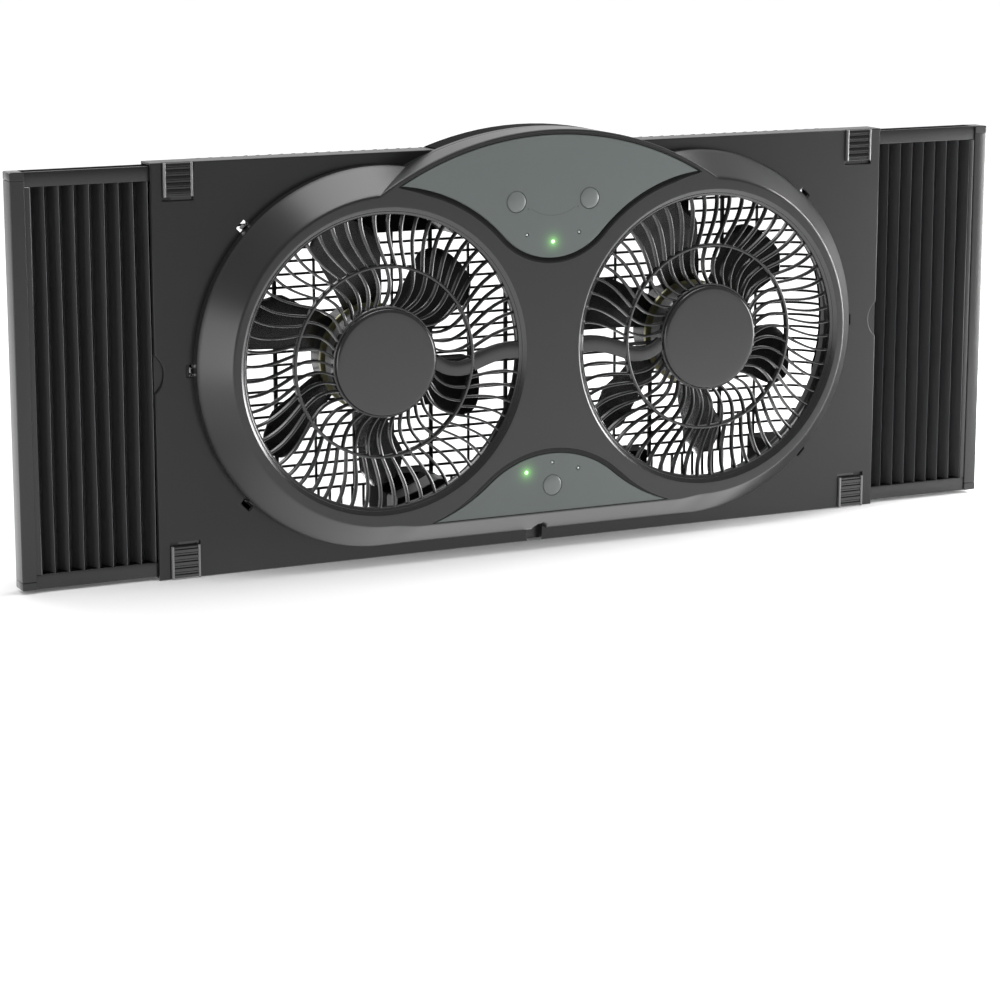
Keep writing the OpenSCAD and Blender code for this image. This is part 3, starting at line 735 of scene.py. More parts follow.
def front_edge():
    """Outline of the front wall, with the four latch pockets and the round-topped cord notch."""
    notch = [(-NOTCH_HALF, 0.0), *arc(0, NOTCH_SPRING, NOTCH_HALF, 180, 0, 17), (NOTCH_HALF, 0.0)]
    bottom = [*latch_pocket(-LATCH_X, 0.0, 1), *notch, *latch_pocket(LATCH_X, 0.0, 1)]
    top = [*latch_pocket(LATCH_X, PLATE_H, -1), *latch_pocket(-LATCH_X, PLATE_H, -1)]
    return plate_edge(bottom, top)


def snap_slot(side, angle):
    """Slot for a snap hook: a rounded rectangle that lies across the line from the cover's round end."""
    along = np.array([math.cos(angle), math.sin(angle)])
    across = np.array([-along[1], along[0]])
    near, far = SLOT_R
    places = [(near, -SLOT_HALF), (far, -SLOT_HALF), (far, SLOT_HALF), (near, SLOT_HALF)]
    corners = np.array([along * r + across * w for r, w in places])
    return hole(rounded(corners, 0.8, 4) * (side, 1) + (side * COVER_X, FAN_Z))


def hook_room(side, angle):
    """Round hole in the back wall behind a snap slot."""
    x = side * (COVER_X + SLOT_MIDDLE * math.cos(angle))
    return hole(circle(x, FAN_Z + SLOT_MIDDLE * math.sin(angle), 10.0, 40))


def fan_hole(side, grow=0.0):
    """Hole behind a fan, as a radius for each angle.

    The radius is the plate hole's, but ends where the control box or a foot begins, at the shroud's at least.
    """
    angle = np.radians(np.linspace(0, 360, 721)[:-1])
    r = np.linspace(SHROUD_R, PLATE_HOLE_R, 60)[:, None] + grow
    x = np.abs(side * FAN_X + r * np.cos(angle))
    z = FAN_Z + r * np.sin(angle)
    feet = np.any([(x > low + grow) & (x < high - grow) for low, high in FEET_X], axis=0)
    solid = ((z < FEET_TOP - grow) & feet) | ((z > CONTROL_BOX_FOOT + grow) & (x < CONTROL_BOX_HALF - grow))
    first = np.where(solid.any(axis=0), solid.argmax(axis=0), len(r) - 1)
    reach = r[first, 0]
    return np.column_stack([side * FAN_X + reach * np.cos(angle), FAN_Z + reach * np.sin(angle)])


def make_notch_liner(skins):
    """Lining of the cord notch behind the front wall: a back, an arched wall and two straight side walls."""
    half = NOTCH_HALF + 0.6
    front, back = NOTCH_BACK
    arch = arc(0, NOTCH_SPRING, half, 180, 0, 17)
    outline = np.concatenate([arch, [(half, EDGE_WALL), (-half, EDGE_WALL)]])
    piece = Piece()
    piece.slab([outside(outline)], edge_profile(front, back, 0, 0))
    piece.grid([at_depth(arch, FRONT_WALL), at_depth(arch, front)])
    for side in SIDES.values():
        wall = sorted((side * NOTCH_HALF, side * (NOTCH_HALF + 0.8)))
        piece.box(wall, (FRONT_WALL, front), (EDGE_WALL, NOTCH_SPRING), 0)
    piece.install("cord_notch_liner", skins["cover_gloss"], "fan", "charcoal_plastic")


def make_plate(skins):
    """Hollow plate: a front and a back wall joined by a top and a bottom wall and by a wall round each fan.

    Behind the front wall there is also a guide strip at each end and a ledge at each middle snap slot.
    """
    piece = Piece()
    fans = [hole(fan_hole(side)) for side in SIDES.values()]
    slots = [snap_slot(side, angle) for side, angle in HOOKS]
    rooms = [hook_room(side, angle) for side, angle in HOOKS]
    piece.slab([front_edge(), *fans, *slots], edge_profile(0, FRONT_WALL, 0.7, 0))
    piece.slab([plate_edge(), *fans, *rooms], edge_profile(INNER_D, PLATE_D, 0, 0.7))
    for side in SIDES.values():
        strip = sorted((side * 299.0, side * 315.3))
        piece.box(strip, (FRONT_WALL, FRONT_WALL + 0.8), (15.9, PLATE_H - 15.9), 0)
        ledge = sorted((side * (COVER_X + 150.2), side * (COVER_X + 153.0)))
        piece.box(ledge, (1.4, 2.1), (FAN_Z - 4.8, FAN_Z + 4.8), 0)
    half = PLATE_W / 2
    bottom = (0.0, EDGE_WALL)
    top = (PLATE_H - EDGE_WALL, PLATE_H)
    middle = (-NOTCH_HALF, NOTCH_HALF)
    for z in (bottom, top):
        for x in ((-half, -NOTCH_HALF), (NOTCH_HALF, half)):
            piece.box(x, (FRONT_WALL, INNER_D), z, 0)
    piece.box(middle, (FRONT_WALL, INNER_D), top, 0)
    piece.box(middle, (NOTCH_BACK[1], INNER_D), bottom, 0)
    for side in SIDES.values():
        inner, outer = (fan_hole(side, grow) for grow in (0.0, 2.0))
        depths = [(inner, FRONT_WALL), (inner, INNER_D), (outer, INNER_D), (outer, FRONT_WALL)]
        piece.grid([at_depth(loop, d) for loop, d in depths], around=True, along=True)
    piece.install("plate", skins["plate_plastic"], "fan", "charcoal_plastic", "main_frame")


# ---- Cover ----


def slope_share(depth):
    """How far down the cover's slope a depth lies: 0 at its face and 1 at its foot."""
    return np.clip((depth + COVER_H) / (COVER_H - COVER_FOOT), 0, 1)


def round_end_r(depth):
    """Radius of the cover's round ends: a cone from the front that runs into a straight foot."""
    return COVER_FRONT_R + (COVER_FOOT_R - COVER_FRONT_R) * slope_share(depth)


def underside_z(x, depth):
    """Height of the cover's underside, which slopes back to the foot and opens over the cord notch.

    At the face it sags by 2.3 t^2 (3 - 2t), where t rises from 0 at the round end to 1 a little inwards.
    """
    t = np.clip((COVER_X - np.abs(x)) / 25.5, 0, 1)
    low = FAN_Z - round_end_r(depth) - 2.3 * t * t * (3 - 2 * t) * (1 - slope_share(depth))
    tunnel = NOTCH_SPRING + np.sqrt(np.maximum(NOTCH_HALF**2 - x**2, 0))
    return np.where((depth > -15) & (np.abs(x) < NOTCH_HALF), np.maximum(low, tunnel), low)


def cover_loop(depth, shrink=0.0):
    """Closed outline of the cover at a depth: right end, arch, left end and underside, counterclockwise.

    The rounding of the face's edge narrows low down, where the face meets the underside.
    """
    r = round_end_r(depth)
    meet = crossing((COVER_X, FAN_Z), r, (0, ARCH_Z), ARCH_R)
    arch_angle = bearing(meet, 0, ARCH_Z)
    right = arc(COVER_X, FAN_Z, r, -90, bearing(meet, COVER_X, FAN_Z), 150)
    arch = arc(0, ARCH_Z, ARCH_R, arch_angle, 180 - arch_angle, 140)[1:-1]
    beside = np.linspace(NOTCH_HALF + 0.4, COVER_X, 40)[:-1]
    x = np.concatenate([-beside[::-1], np.linspace(-NOTCH_HALF, NOTCH_HALF, 25), beside])
    under = np.column_stack([x, underside_z(x, depth)])
    loop = np.concatenate([right, arch, mirror(right), under])
    narrow = np.interp(loop[:, 1], [34, 60], [0.28, 1.0]) if depth < -30 else 1.0
    return inset(loop, shrink * narrow) if shrink else loop


def upper_panel_loop(gap=0.0):
    """Edge of the upper control panel: the arch, the flanks round both openings, and the tip below."""
    arch_r = PANEL_ARCH_R - gap
    flank_r = PANEL_FLANK_R + gap
    tip_r = 57.3 - gap
    tip_z = 287.3
    horn = crossing((FAN_X, FAN_Z), flank_r, (0, PANEL_ARCH_Z), arch_r)
    horn_angle = bearing(horn, 0, PANEL_ARCH_Z)
    joint = bearing((0, tip_z), FAN_X, FAN_Z)
    top = arc(0, PANEL_ARCH_Z, arch_r, horn_angle, 180 - horn_angle, 90)
    flank = arc(FAN_X, FAN_Z, flank_r, joint, bearing(horn, FAN_X, FAN_Z), 60)
    tip = arc(0, tip_z, tip_r, 180 + (180 - joint), 360 - (180 - joint), 50)
    return outside(np.concatenate([top[:-1], mirror(flank)[:-1], tip[:-1], flank[:-1]]))


def lower_panel_loop(gap=0.0):
    """Edge of the lower control panel: a domed top, the flanks round both openings, and a flat foot."""
    flank_r = PANEL_FLANK_R + gap
    top_r = 83.0 - gap
    top_z = -6.5
    foot_z = 29.9 + gap
    foot_x = FAN_X - math.sqrt(flank_r**2 - (FAN_Z - foot_z) ** 2)
    joint = bearing((0, top_z), FAN_X, FAN_Z)
    flank = arc(FAN_X, FAN_Z, flank_r, bearing((foot_x, foot_z), FAN_X, FAN_Z), joint, 50)
    dome = arc(0, top_z, top_r, 180 + joint, -joint, 60)
    return outside(np.concatenate([flank[:-1], dome[:-1], mirror(flank)]))


def control_holes(button_r, lamp_r):
    """Holes for the buttons and lamps: those of the upper panel and those of the lower one."""
    loops = [hole(circle(x, z, button_r, 64)) for x, z in BUTTONS.values()]
    loops += [hole(circle(x, z, lamp_r, 20)) for x, z in LIT_LAMPS + UNLIT_LAMPS]
    high = [loop for loop in loops if loop[:, 1].mean() > FAN_Z]
    low = [loop for loop in loops if loop[:, 1].mean() <= FAN_Z]
    return high, low


# Rounded edges as (depth, inset): of the cover's face, and of the pockets down to their floor.
COVER_EDGE = [(COVER_FACE, 2.0), (COVER_FACE, 1.1), (-31.40, 0.62), (-31.15, 0.25), (-30.7, 0.0)]
POCKET_EDGE = [
    (COVER_FACE, 4.0), (COVER_FACE, 3.1), (-31.42, 2.1), (-31.2, 1.2), (-30.85, 0.5), (-30.4, 0.12),
    (-30.0, 0.0),
]
POCKET_FLOOR = POCKET_EDGE[-1][0]


def pocket_rings(loop):
    """Lines of a pocket's edge, from face to floor: full on the flanks, narrow at the arch and foot."""
    x, z = loop[:, 0], loop[:, 1]
    from_arch = PANEL_ARCH_R - np.hypot(x, z - PANEL_ARCH_Z)
    high = np.interp(from_arch, [0.0, 14.0], [0.42, 1.0])
    low = np.interp(z, [30.2, 52.0], [0.06, 1.0])
    width = np.where(z > FAN_Z, high, low)
    return [inset(loop, s * width) for _, s in POCKET_EDGE]


def make_opening(name, side, skins):
    """Soft lip of an opening and the straight tube behind it."""
    lip = Piece()
    lip.turned([
        (OPENING_R + 0.05, -31.44), (OPENING_R - 0.25, -31.3), (TUBE_R + 0.3, -29.9), (TUBE_R, -29.6),
        (TUBE_R, TUBE_START), (TUBE_R + 0.3, TUBE_START), (OPENING_R + 0.05, -31.0),
    ], side * FAN_X, FAN_Z, 192, True)
    lip.install(name + "_opening_lip", skins["lip_gloss"], "fan", "charcoal_plastic")
    tube = Piece()
    tube.turned([
        (TUBE_R, TUBE_START), (TUBE_R, TUBE_END - 0.4), (TUBE_R + 0.4, TUBE_END),
        (TUBE_R + COVER_WALL, TUBE_END), (TUBE_R + COVER_WALL, COVER_INSIDE),
    ], side * FAN_X, FAN_Z, 192)
    tube.install(name + "_opening_tube", skins["tube_shade"], "fan", "charcoal_plastic")


def hook(side, angle):
    """Snap hook from the cover's foot through its slot: two boxes, turned about the round end."""
    piece = Piece()
    piece.box((COVER_FOOT_R - 1.2, COVER_FOOT_R + 2.4), (-3.0, 0.0), (-2.0, 2.0))
    piece.box((COVER_FOOT_R + 0.7, COVER_FOOT_R + 2.4), (-3.0, 5.0), (-2.0, 2.0))
    c, s = math.cos(angle), math.sin(angle)
    for points in piece.points:
        points[:, [0, 2]] = points[:, [0, 2]] @ np.array([(c, s), (-s, c)])
    return piece.placed(side, 1, side * COVER_X, FAN_Z)


def make_cover(skins):
    """Hollow cover: conical ends, an arched top, a sloping underside, and pockets for the two panels."""
    for name, side in SIDES.items():
        make_opening(name, side, skins)
    pockets = [pocket_rings(hole(loop)) for loop in (upper_panel_loop(), lower_panel_loop())]
    for name, rings in zip(("upper", "lower"), pockets):
        # The pocket edges take a darker material: painted shade round each panel's recess.
        bevel = Piece()
        bevel.grid([at_depth(ring, d) for ring, (d, _) in zip(rings, POCKET_EDGE)], around=True)
        bevel.install(name + "_pocket_bevel", skins["bevel_painted_shade"], "fan", "charcoal_plastic")
    piece = Piece()
    levels = COVER_EDGE + [(d, 0.0) for d in np.linspace(-29, -7.35, 10)]
    levels += [(-COVER_FOOT, 0.12), (-6.6, 0.0), (-3.3, 0.0), (0.0, 0.0)]
    outer = [at_depth(cover_loop(d, s), d) for d, s in levels]
    inner = [at_depth(cover_loop(d, COVER_WALL), d) for d in (0.0, -COVER_FOOT, -15.0, COVER_INSIDE)]
    piece.grid(outer, around=True)
    piece.grid([outer[-1], *inner], around=True)
    mouth = [(FACE_HOLE_R, COVER_FACE), (OPENING_R + 0.4, COVER_FACE), (OPENING_R + 0.05, -31.44)]
    for side in SIDES.values():
        piece.turned(mouth, side * FAN_X, FAN_Z, 192)
    openings = [hole(circle(side * FAN_X, FAN_Z, FACE_HOLE_R)) for side in SIDES.values()]
    tubes = [hole(circle(side * FAN_X, FAN_Z, TUBE_R + COVER_WALL)) for side in SIDES.values()]
    high, low = control_holes(BUTTON_R + 0.4, 1.6)
    for rings, holes in zip(pockets, (high, low)):
        piece.face([rings[-1], *holes], POCKET_FLOOR)
    for loop in high + low:
        piece.grid([at_depth(loop, POCKET_FLOOR), at_depth(loop, COVER_INSIDE)], around=True)
    piece.face([outer[0][:, [0, 2]], *openings, *[rings[0] for rings in pockets]], COVER_FACE)
    piece.face([inner[-1][:, [0, 2]], *tubes, *high, *low], COVER_INSIDE)
    for side, angle in HOOKS:
        piece.join(hook(side, angle))
    piece.install("front_cover_shell", skins["cover_gloss"], "fan", "charcoal_plastic", "front_cover")


def make_controls(skins):
    """Panels in their pockets, the three push buttons and the lamp lenses."""
    high, low = control_holes(BUTTON_R + 0.35, 1.55)
    for name, loop, holes in (
        ("upper_control_panel", upper_panel_loop(0.35), high),
        ("lower_control_panel", lower_panel_loop(0.35), low),
    ):
        piece = Piece()
        piece.slab([loop, *holes], edge_profile(-31.0, -30.1, 0.35, 0, 4, 0.3))
        piece.install(name + "_overlay", skins["panel_plastic"], "fan", "panel_plastic", name)
    for name, (x, z) in BUTTONS.items():
        piece = Piece()
        piece.turned([
            (0, -32.25), (2.0, -32.21), (4.0, -32.08), (5.6, -31.9), (6.8, -31.68), (7.5, -31.45),
            (7.8, -31.2), (BUTTON_R, -31.0), (BUTTON_R, -29.2), (9.6, -29.2), (9.6, -28.3), (0, -28.3),
        ], x, z, 72)
        piece.install(name + "_cap", skins["button_plastic"], name, "button_plastic", name)
    lens = np.array([
        (0, -31.5), (0.6, -31.42), (1.1, -31.2), (1.4, -30.85), (1.45, -30.5), (1.45, -29.3), (0, -29.3),
    ])
    for name, slot, places, wide in (
        ("lit_indicators", "lamp_green", LIT_LAMPS, 1.0),
        # The unlit lenses are drawn at 0.66 of the width, and their pale grey material is a painted glint.
        ("unlit_indicators", "lamp_clear", UNLIT_LAMPS, 0.66),
    ):
        piece = Piece()
        for x, z in places:
            piece.turned(lens * (wide, 1), x, z, 24)
        piece.install(name + "_lens", skins[slot], "fan", slot, name)


# ---- Grilles ----


# Sections across a rib and across the wide arm, drawn RIB_W wide, as (offset, depth).
RIB_SECTION = np.array([
    (-0.9, GRILLE_BACK), (-0.9, -27.0), (-0.66, -27.66), (0.0, GRILLE_FRONT), (0.66, -27.66), (0.9, -27.0),
    (0.9, GRILLE_BACK),
])
ARM_SECTION = np.array([
    (-0.9, GRILLE_BACK), (-0.9, -27.4), (-0.86, -27.8), (-0.78, GRILLE_FRONT), (0.78, GRILLE_FRONT),
    (0.86, -27.8), (0.9, -27.4), (0.9, GRILLE_BACK),
])


def outer_bend(r):
    """Degrees an outer rib leads by: 6.6 u - 11.4 u^2, where u runs from 0 at the opening to 1 inside."""
    u = (OPENING_R - r) / 44
    return 6.6 * u - 11.4 * u * u


def inner_bend(r):
    """Degrees an inner rib leads by: 16 v^3 - 4.8 v^2 - 8.2 v, where v runs from 0 at the ring to 1."""
    v = (74 - r) / 32
    return -8.2 * v - 4.8 * v * v + 16 * v * v * v


def rib_rows(angle, span, bend, width=RIB_W, section=RIB_SECTION):
    """Rows of a curved rib: its middle runs at angle + bend(r), and section lies across it."""
    r = np.linspace(*span, 12)
    turn = np.radians(angle + bend(r))
    middle = np.column_stack([r * np.cos(turn), r * np.sin(turn)])
    along = unit(np.gradient(middle, axis=0))
    across = np.column_stack([-along[:, 1], along[:, 0]])
    wide = section[:, 0] * width / RIB_W
    x = middle[:, 0, None] + across[:, 0, None] * wide
    z = middle[:, 1, None] + across[:, 1, None] * wide
    return np.stack([x, np.broadcast_to(section[:, 1], x.shape), z], axis=-1)


def ring_profile(outer, inner, front, back):
    """Closed section of a ring with soft front edges."""
    soft = 0.8
    edge = 0.3 * soft
    return [
        (inner, back), (inner, front + soft), (inner + edge, front + edge), (inner + soft, front),
        (outer - soft, front), (outer - edge, front + edge), (outer, front + soft), (outer, back),
    ]


def make_grille(name, side, skins):
    """Curved ribs between opening, ring and hub, drawn for the left fan and mirrored for the right."""
    piece = Piece()
    for k in range(60):
        piece.grid(rib_rows(3 + 6 * k, OUTER_RIBS, outer_bend), around=True)
    for k in range(40):
        piece.grid(rib_rows(7.5 + 9 * k, INNER_RIBS, inner_bend), around=True)
    piece.grid(rib_rows(0, OUTER_RIBS, outer_bend, 12.5, ARM_SECTION), around=True)
    piece.grid(rib_rows(-6, INNER_RIBS, inner_bend, 10.8, ARM_SECTION), around=True)
    piece.turned(ring_profile(RING_R, RING_R - 2.5, -28.3, GRILLE_BACK), closed=True)
    piece.turned([
        (7.0, GRILLE_FRONT), (HUB_R - 0.6, GRILLE_FRONT), (HUB_R, -27.4), (HUB_R, GRILLE_BACK),
        (40.0, GRILLE_BACK), (40.0, -25.5), (9.5, -25.5), (9.5, -21.5), (7.0, -21.5),
    ], closed=True)
    piece.placed(-side, 1, side * FAN_X, FAN_Z)
    rim = Piece()
    rim.turned([
        (TUBE_R - 0.05, GRILLE_BACK), (TUBE_R - 0.05, -29.5), (TUBE_R - 0.3, -29.6), (TUBE_R - 2.2, -28.5),
        (TUBE_R - 2.4, -28.2), (TUBE_R - 2.4, GRILLE_BACK),
    ], side * FAN_X, FAN_Z, 192, True)
    rim.install(name + "_rim", skins["lip_gloss"], "fan", "charcoal_plastic", sharp=40)
    piece.install(name + "_ribs", skins["cap_gloss"], "fan", "charcoal_plastic", name, sharp=40)


def make_hub_cap(name, side, skins):
    """Round cap over the motor: domed very slightly, by the square of r, with a quarter-round edge."""
    edge_r = 3
    flat_r = CAP_R - edge_r
    turn = np.linspace(0.12, np.pi / 2, 9)
    dome = [(r, COVER_FACE + 0.12 * (r / flat_r) ** 2) for r in (0, 10, 20, 30, 35, 38)]
    edge = [(flat_r + edge_r * math.sin(t), -28.35 - edge_r * math.cos(t)) for t in turn]
    inner = [(CAP_R, GRILLE_FRONT), (CAP_R - 1.6, GRILLE_FRONT), (CAP_R - 1.6, -29.9), (0, -29.9)]
    piece = Piece()
    piece.turned(dome + edge + inner, side * FAN_X, FAN_Z, 160)
    piece.install(name + "_dome", skins["cap_gloss"], "fan", "charcoal_plastic", name)


def make_corner_ribs(name, side, skins):
    """Short ribs at one of the basket's upper corners.

    Each follows the quarter round from the plate and ends where the side's own quarter round cuts it off, at
    the depth 20.5 + sqrt(34^2 - (x - 245)^2).
    """
    round_r = 34.0
    piece = Piece()
    for x in (240.0, 249.6, 259.2, 268.8):
        reach = math.sqrt(round_r**2 - max(x - 245.0, 0) ** 2)
        t = np.linspace(math.asin(0.5 / round_r), math.asin(reach / round_r), 16)
        rows = [np.column_stack([20.5 + r * np.sin(t), 280.4 + r * np.cos(t)]) for r in (33.9, 31.9)]
        piece.bar(outside(np.concatenate([rows[0], rows[1][::-1]])), x - 0.8, x + 0.8, 0)
    piece.placed(side).install(name, skins["black_plastic"], "fan", "black_plastic")


# ---- Rotors ----


def blade_rows(phase):
    """Both faces of one blade, a twisted and cambered plate with a rounded tip.

    At radius r it spans the angles a(r) +- h(r), and its depth is 14 + t(r) c + 1.5 (1 - c^2), where c runs
    from -1 to 1 across it.
    """
    s, c = np.meshgrid(np.linspace(0, 1, 15), np.linspace(-1, 1, 17), indexing="ij")
    along = s[:, 0]
    trim = np.sqrt(np.clip(1 - np.abs(c) ** 3.2 * 0.55 * s**6, 0, 1))
    r = BLADE_ROOT_R + (BLADE_TIP_R - BLADE_ROOT_R) * s * (0.5 + 0.5 * trim)
    half = np.interp(along, [0, 0.15, 0.5, 0.8, 1.0], [20, 18.5, 16.0, 15.5, 13])[:, None]
    middle = np.interp(along, [0, 0.5, 1.0], [-6, 0, 2.5])[:, None]
    twist = np.interp(along, [0, 0.5, 1.0], [6.0, 10.5, 13.5])[:, None]
    angle = np.radians(phase + middle + half * c)
    depth = BLADE_D + twist * c + 1.5 * (1 - c**2)
    thick = (1.0 - 0.55 * s) * (1 - 0.75 * c**4)
    x = r * np.cos(angle)
    z = r * np.sin(angle)
    front = np.stack([x, depth - thick, z], axis=-1)
    back = np.stack([x, depth + thick, z], axis=-1)
    return np.concatenate([front, back[:, ::-1]], axis=1)


def make_rotor(side_name, side, phase, skins):
    """Hub and six twisted blades."""
    piece = Piece()
    piece.turned([
        (4.02, 30), (4.02, 14), (8, 14), (8, 28), (36, 28), (36, 8.4), (36.4, 8.0), (37.6, 8.0), (38, 8.4),
        (38, 28.6), (36.6, 30),
    ], closed=True)
    for k in range(6):
        rows = blade_rows(phase + 60 * k)
        piece.grid(rows, around=True)
        piece.close_end(rows[-1])
    piece.placed(1, 1, side * FAN_X, FAN_Z)
    name = side_name + "_fan_blade"
    body = side_name + "_rotor"
    piece.install(name + "_rotor", skins["blade_plastic"], body, "black_plastic", name, sharp=40)


# ---- Latches ----


def make_latch(name, side, low, skins):
    """Ribbed slide pad: five ridges between two raised rims, and a flange that runs behind the wall."""
    x0, x1 = 282.5, 305.5
    rim_w = 1.9
    seat = 2.4
    top = PLATE_H - 0.2
    foot = top - 25.1
    dome = np.array([
        (0, seat), (0, -1.5), (0.12, -1.8), (0.45, -2.05), (0.95, -2.15), (1.45, -2.05), (1.78, -1.8),
        (rim_w, -1.5), (rim_w, seat),
    ])
    rims = Piece()
    for x in (x0, x1 - rim_w):
        rims.bar(outside(dome + (x, 0)), foot, top, 2)
    ridge = [(-1.55, 0), (-1.75, 0.4), (-1.75, 2.2), (-1.5, 2.6), (-0.7, 3.0), (-0.7, 4.2), (-0.9, 4.5)]
    section = [(seat, top - 0.02), (-0.6, top - 0.02)]
    for k in range(5):
        section += [(d, top - 0.6 - 4.85 * k - down) for d, down in ridge]
    section += [(-0.6, foot + 0.02), (seat, foot + 0.02)]
    piece = Piece()
    piece.bar(outside(np.array(section)), x0 + 1.7, x1 - 1.7, 0)
    piece.box((x0 - 3, x1 + 3), (seat, 3.3), (foot - 4.5, top - 5), 0.2)
    z_sign, z = (-1, PLATE_H) if low else (1, 0.0)
    for part in (rims, piece):
        part.placed(side, z_sign, 0, z)
    # The rims take a pale material: a painted highlight along them.
    rims.install(name + "_rims", skins["rim_painted_highlight"], name, "charcoal_plastic")
    piece.install(name + "_pad", skins["latch_gloss"], name, "charcoal_plastic", name)


# ---- Side panels ----


def make_side_frame(side_name, side, skins):
    """Stile with a soft outer edge, its end blocks with the seam on them, and the two channel rails."""
    inner = SIDE_X - 11.0
    wall = 1.8
    web = SIDE_BACK - wall
    piece = Piece()
    stile = rounded([
        (inner, SIDE_FRONT), (SIDE_X, SIDE_FRONT), (SIDE_X, SIDE_BACK), (inner, SIDE_BACK), (inner, web),
        (SIDE_X - wall, web), (SIDE_X - wall, SIDE_FRONT + wall), (inner, SIDE_FRONT + wall),
    ], [0.5, 0.9, 0.9, 0.3, 0, 0, 0, 0.2], 5)
    piece.bar(stile, 8.75, PLATE_H - 8.75, 2)
    strip = rounded([(inner - 4.2, 3.2), (inner + 0.6, 3.2), (inner + 0.6, 4.4), (inner - 4.2, 4.4)], 0.4, 4)
    piece.bar(strip, CHANNEL_FOOT, PLATE_H - CHANNEL_FOOT, 2)
    lower_rail = rounded([
        (3.8, 2.3), (SIDE_BACK, 2.3), (SIDE_BACK, 13.5), (web, 13.5), (web, 4.1), (5.6, 4.1), (5.6, 13.5),
        (3.8, 13.5),
    ], [0.6, 0.6, 0.3, 0.3, 0, 0, 0.3, 0.5], 4)
    upper_rail = rounded([
        (3.8, 2.3), (5.6, 2.3), (5.6, 11.7), (web, 11.7), (web, 2.3), (SIDE_BACK, 2.3), (SIDE_BACK, 13.5),
        (3.8, 13.5),
    ], [0.5, 0.3, 0, 0, 0.3, 0.3, 0.6, 0.6], 4)
    for rail, z_sign, z in ((lower_rail, 1, 0.0), (upper_rail, -1, PLATE_H)):
        end = Piece()
        end.box((inner, SIDE_X), (SIDE_FRONT, SIDE_BACK), (2.3, 8.6), 0.6)
        end.bar(outside(rail), 250.0, inner - 0.15, 0)
        piece.join(end.placed(1, z_sign, 0, z))
    name = side_name + "_expander_frame"
    body = side_name + "_expander"
    piece.placed(side).install(name + "_stile", skins["frame_plastic"], body, "charcoal_plastic", name)


def fold_rows(j, x, d, side):
    """Both faces of one leg of the folded sheet, from fold j at x[0], d[0] to the next at x[1], d[1].

    The leg bows by 0.35 sin(pi t) along its normal, where t runs from 0 to 1 over it, and fold j waves along
    x by 0.25 sin(z / 47 + 0.6 j), with a start of its own for each side.
    """
    z = np.linspace(CHANNEL_FOOT, PLATE_H - CHANNEL_FOOT, 25)[:, None]
    t = np.linspace(0, 1, 7)
    normal_x = (d[1] - d[0]) / math.hypot(d[1] - d[0], x[1] - x[0])
    bow = 0.35 * np.sin(np.pi * t) * normal_x
    wave = 0.25 * np.sin(z / 47.0 + side * 1.3 + 0.6 * np.array([j, j + 1]))
    middle_x = x[0] + (x[1] - x[0]) * t + bow + wave[:, :1] * (1 - t) + wave[:, 1:] * t
    depth = np.broadcast_to(d[0] + (d[1] - d[0]) * t, middle_x.shape)
    z = np.broadcast_to(z, middle_x.shape)
    half = SHEET / 2 * abs(normal_x)
    outer = np.stack([middle_x + half, depth, z], axis=-1)
    inner = np.stack([middle_x - half, depth, z], axis=-1)
    return np.concatenate([outer, inner[:, ::-1]], axis=1)


def inverse_smooth(w):
    """Solves w = t^2 (3 - 2t) for t."""
    return 0.5 - math.sin(math.asin(1 - 2 * w) / 3)


def make_accordion(side_name, side, skins):
    """Folded sheet of the side panel, one leg between two folds at a time.

    Fold j lies at |x| = 406 - 5.65 j, at depth 4 where j is even and 16.5 where it is odd. The share 1 -
    0.04825 j by which fold j would follow the stile, and the depths where a leg's share would run from one
    fold's to the next, are worked out but not used.
    """
    for j in range(20):
        steps = (j, j + 1)
        x = [RIDGE_0 - PLEAT_PITCH * step / 2 for step in steps]
        d = [FOLD_DEPTHS[step % 2] for step in steps]
        rows = fold_rows(j, x, d, side)
        piece = Piece()
        piece.grid(rows, around=True)
        piece.close_end(rows[0])
        piece.close_end(rows[-1])
        made = piece.placed(side).build(f"{side_name}_fold_{j:02d}", skins["pleat_sheet"], 50)
        reach = [inverse_smooth(1 - PLEAT_SHARE * step / 2) for step in steps]
        length = (d[1] - d[0]) / (reach[1] - reach[0])
        begin = d[0] - reach[0] * length
        start, end = ((0, (depth - PLATE_LEAD) * MM, 0) for depth in (begin, begin + length))
        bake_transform(made)
        slat = (j + 1) // 2
        if j % 2 and slat < 10:
            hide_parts(f"{side_name}_pleat_{slat}")


# ---- CAD nodes that stay ----


def dress_nodes(skins):
    """Gives every CAD node that shows the material of its slot, and the rear housing a duller one."""
    slots = {part["node"]: part["material_slot"] for part in frame["record"]["subparts"]}
    for name, node in frame["nodes"].items():
        skin = skins["housing_matt" if name == "rear_housing" else slots[name]]
        if not node.data.materials:
            node.data.materials.append(skin)
        for i in range(len(node.data.materials)):
            node.data.materials[i] = skin


# ---- Stage ----


def make_world():
    """White to the camera and through clear pieces, and a softer white as light.

    A reflection of what lies behind the fan is white too, and one of what lies in front of it is darker.
    """
    world = bpy.data.worlds.new("studio")
    bpy.context.scene.world = world
    world.use_nodes = True
    nodes = Nodes(world.node_tree)
    camera, clear, glossy = nodes.rays("Is Camera Ray", "Is Transmission Ray", "Is Glossy Ray")
    direction = nodes.node("ShaderNodeTexCoord").outputs["Generated"]
    backwards = nodes.field("ShaderNodeSeparateXYZ", "Y", {"Vector": direction})
    ramp = {"Value": backwards, "From Min": -0.25, "From Max": 0.15, "To Min": -1.5, "To Max": 1.0}
    behind = nodes.field("ShaderNodeMapRange", "Result", ramp)
    white = camera.maths("MAXIMUM", clear) + glossy * behind
    background = world.node_tree.nodes["Background"]
    nodes.connect(background.inputs["Color"], (1, 1, 1))
    nodes.connect(background.inputs["Strength"], white * 0.3 + 0.7)


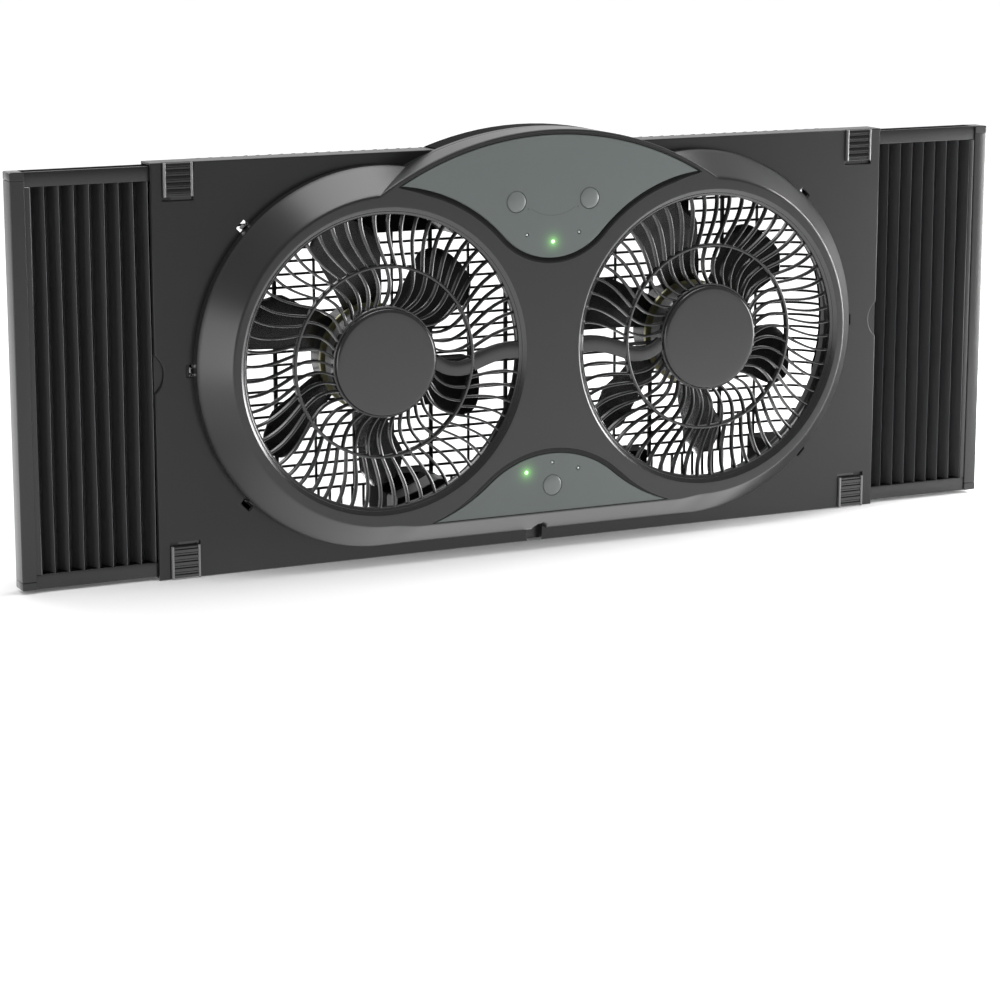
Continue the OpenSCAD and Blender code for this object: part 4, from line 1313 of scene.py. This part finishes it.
def make_floor():
    """Pale floor that keeps the shadow of the fan and turns white further out.

    Its reflection is brightest from a strip of painted light close under the fan, seen only by glossy rays.
    """
    size = 40.0
    corners = [(-size, -size, 0), (size, -size, 0), (size, size, 0), (-size, size, 0)]
    mesh = bpy.data.meshes.new("floor")
    mesh.from_pydata(corners, [], [(0, 1, 2, 3)])
    floor = bpy.data.objects.new("floor", mesh)
    floor.location = (0, 0, -0.3 * MM)
    bpy.context.scene.collection.objects.link(floor)
    shader = Shader("floor_white", Roughness=0.9, Specular_IOR_Level=0.1)
    shader.tint(shader.noise(3.0, 1.0), (0.78, 0.78, 0.78), (0.80, 0.80, 0.80))
    camera, glossy = shader.rays("Is Camera Ray", "Is Glossy Ray")
    x = shader.axis("X")
    y = shader.axis("Y")
    far = ((hypotenuse(x, y) - 0.55) * 1.1).clipped()
    # under is a painted pool of light on the floor, seen only by glossy rays, brightening reflections close
    # beneath the fan.
    under = (1.0 - abs(y) * 8.0).clipped() * ((0.37 - abs(x)) * 8.0).clipped()
    white = (camera * (far * 0.42 + 0.04)).maths("MAXIMUM", glossy * (under * 1.1 + 0.42))
    tone = shader.node("ShaderNodeCombineColor", {"Red": white, "Green": white, "Blue": white})
    shader.shine(tone.outputs[0], 1.0)
    mesh.materials.append(shader.material)


def area_light(name, place, target, size, power):
    """Soft box lamp at place that faces target; size is its width and height."""
    data = bpy.data.lights.new(name, "AREA")
    data.shape = "RECTANGLE"
    data.size, data.size_y = size
    data.energy = power
    lamp = bpy.data.objects.new(name, data)
    lamp.location = place
    lamp.rotation_euler = (Vector(target) - Vector(place)).to_track_quat("-Z", "Y").to_euler()
    bpy.context.scene.collection.objects.link(lamp)


def make_lights():
    """Box overhead, box behind, a strip at each side, and a low and a tall box at the right."""
    area_light("top_box", (0.12, -0.15, 2.0), (0.1, -0.1, 0.15), (1.5, 0.8), 24)
    area_light("right_strip", (1.12, 0.38, 0.33), (0, 0, 0.30), (0.4, 0.64), 18)
    area_light("right_front_box", (0.98, -0.38, 0.16), (0, 0, 0.16), (0.36, 0.32), 6.5)
    area_light("right_tall_box", (1.12, 0.035, 0.45), (0.2, 0.035, 0.25), (0.12, 0.7), 7.5)
    area_light("left_strip", (-0.97, -0.25, 0.22), (0, 0, 0.2), (0.35, 0.42), 1.9)
    area_light("back_box", (-0.7, 1.6, 1.5), (0, 0, 0.15), (1.2, 0.8), 12)


def make_camera():
    """Camera solved from the photograph: 111.65 mm lens on a 36 mm square, turned right and looking down."""
    data = bpy.data.cameras.new("camera")
    data.sensor_fit = "HORIZONTAL"
    data.sensor_width = 36.0
    data.lens = 111.65
    data.clip_end = 200.0
    camera = bpy.data.objects.new("camera", data)
    camera.location = (-1.0720, -2.1677, 0.5526)
    camera.rotation_euler = tuple(math.radians(v) for v in (90 - 12.185, 0, -25.785))
    bpy.context.scene.collection.objects.link(camera)
    bpy.context.scene.camera = camera


def make_scene():
    """Camera, light and floor, and then every piece of the fan."""
    bpy.context.scene.view_settings.view_transform = "Standard"
    make_camera()
    make_world()
    make_lights()
    make_floor()
    skins = make_materials()
    dress_nodes(skins)
    make_notch_liner(skins)
    make_plate(skins)
    make_cover(skins)
    make_controls(skins)
    for name, side in SIDES.items():
        make_grille(name + "_front_grille", side, skins)
        make_hub_cap(name + "_hub_cap", side, skins)
        make_rotor(name, side, 38 if name == "left" else 41, skins)
        make_corner_ribs(name + "_corner_ribs", side, skins)
        make_side_frame(name, side, skins)
        make_accordion(name, side, skins)
        make_latch(f"lower_{name}_latch", side, True, skins)
        make_latch(f"upper_{name}_latch", side, False, skins)


make_scene()
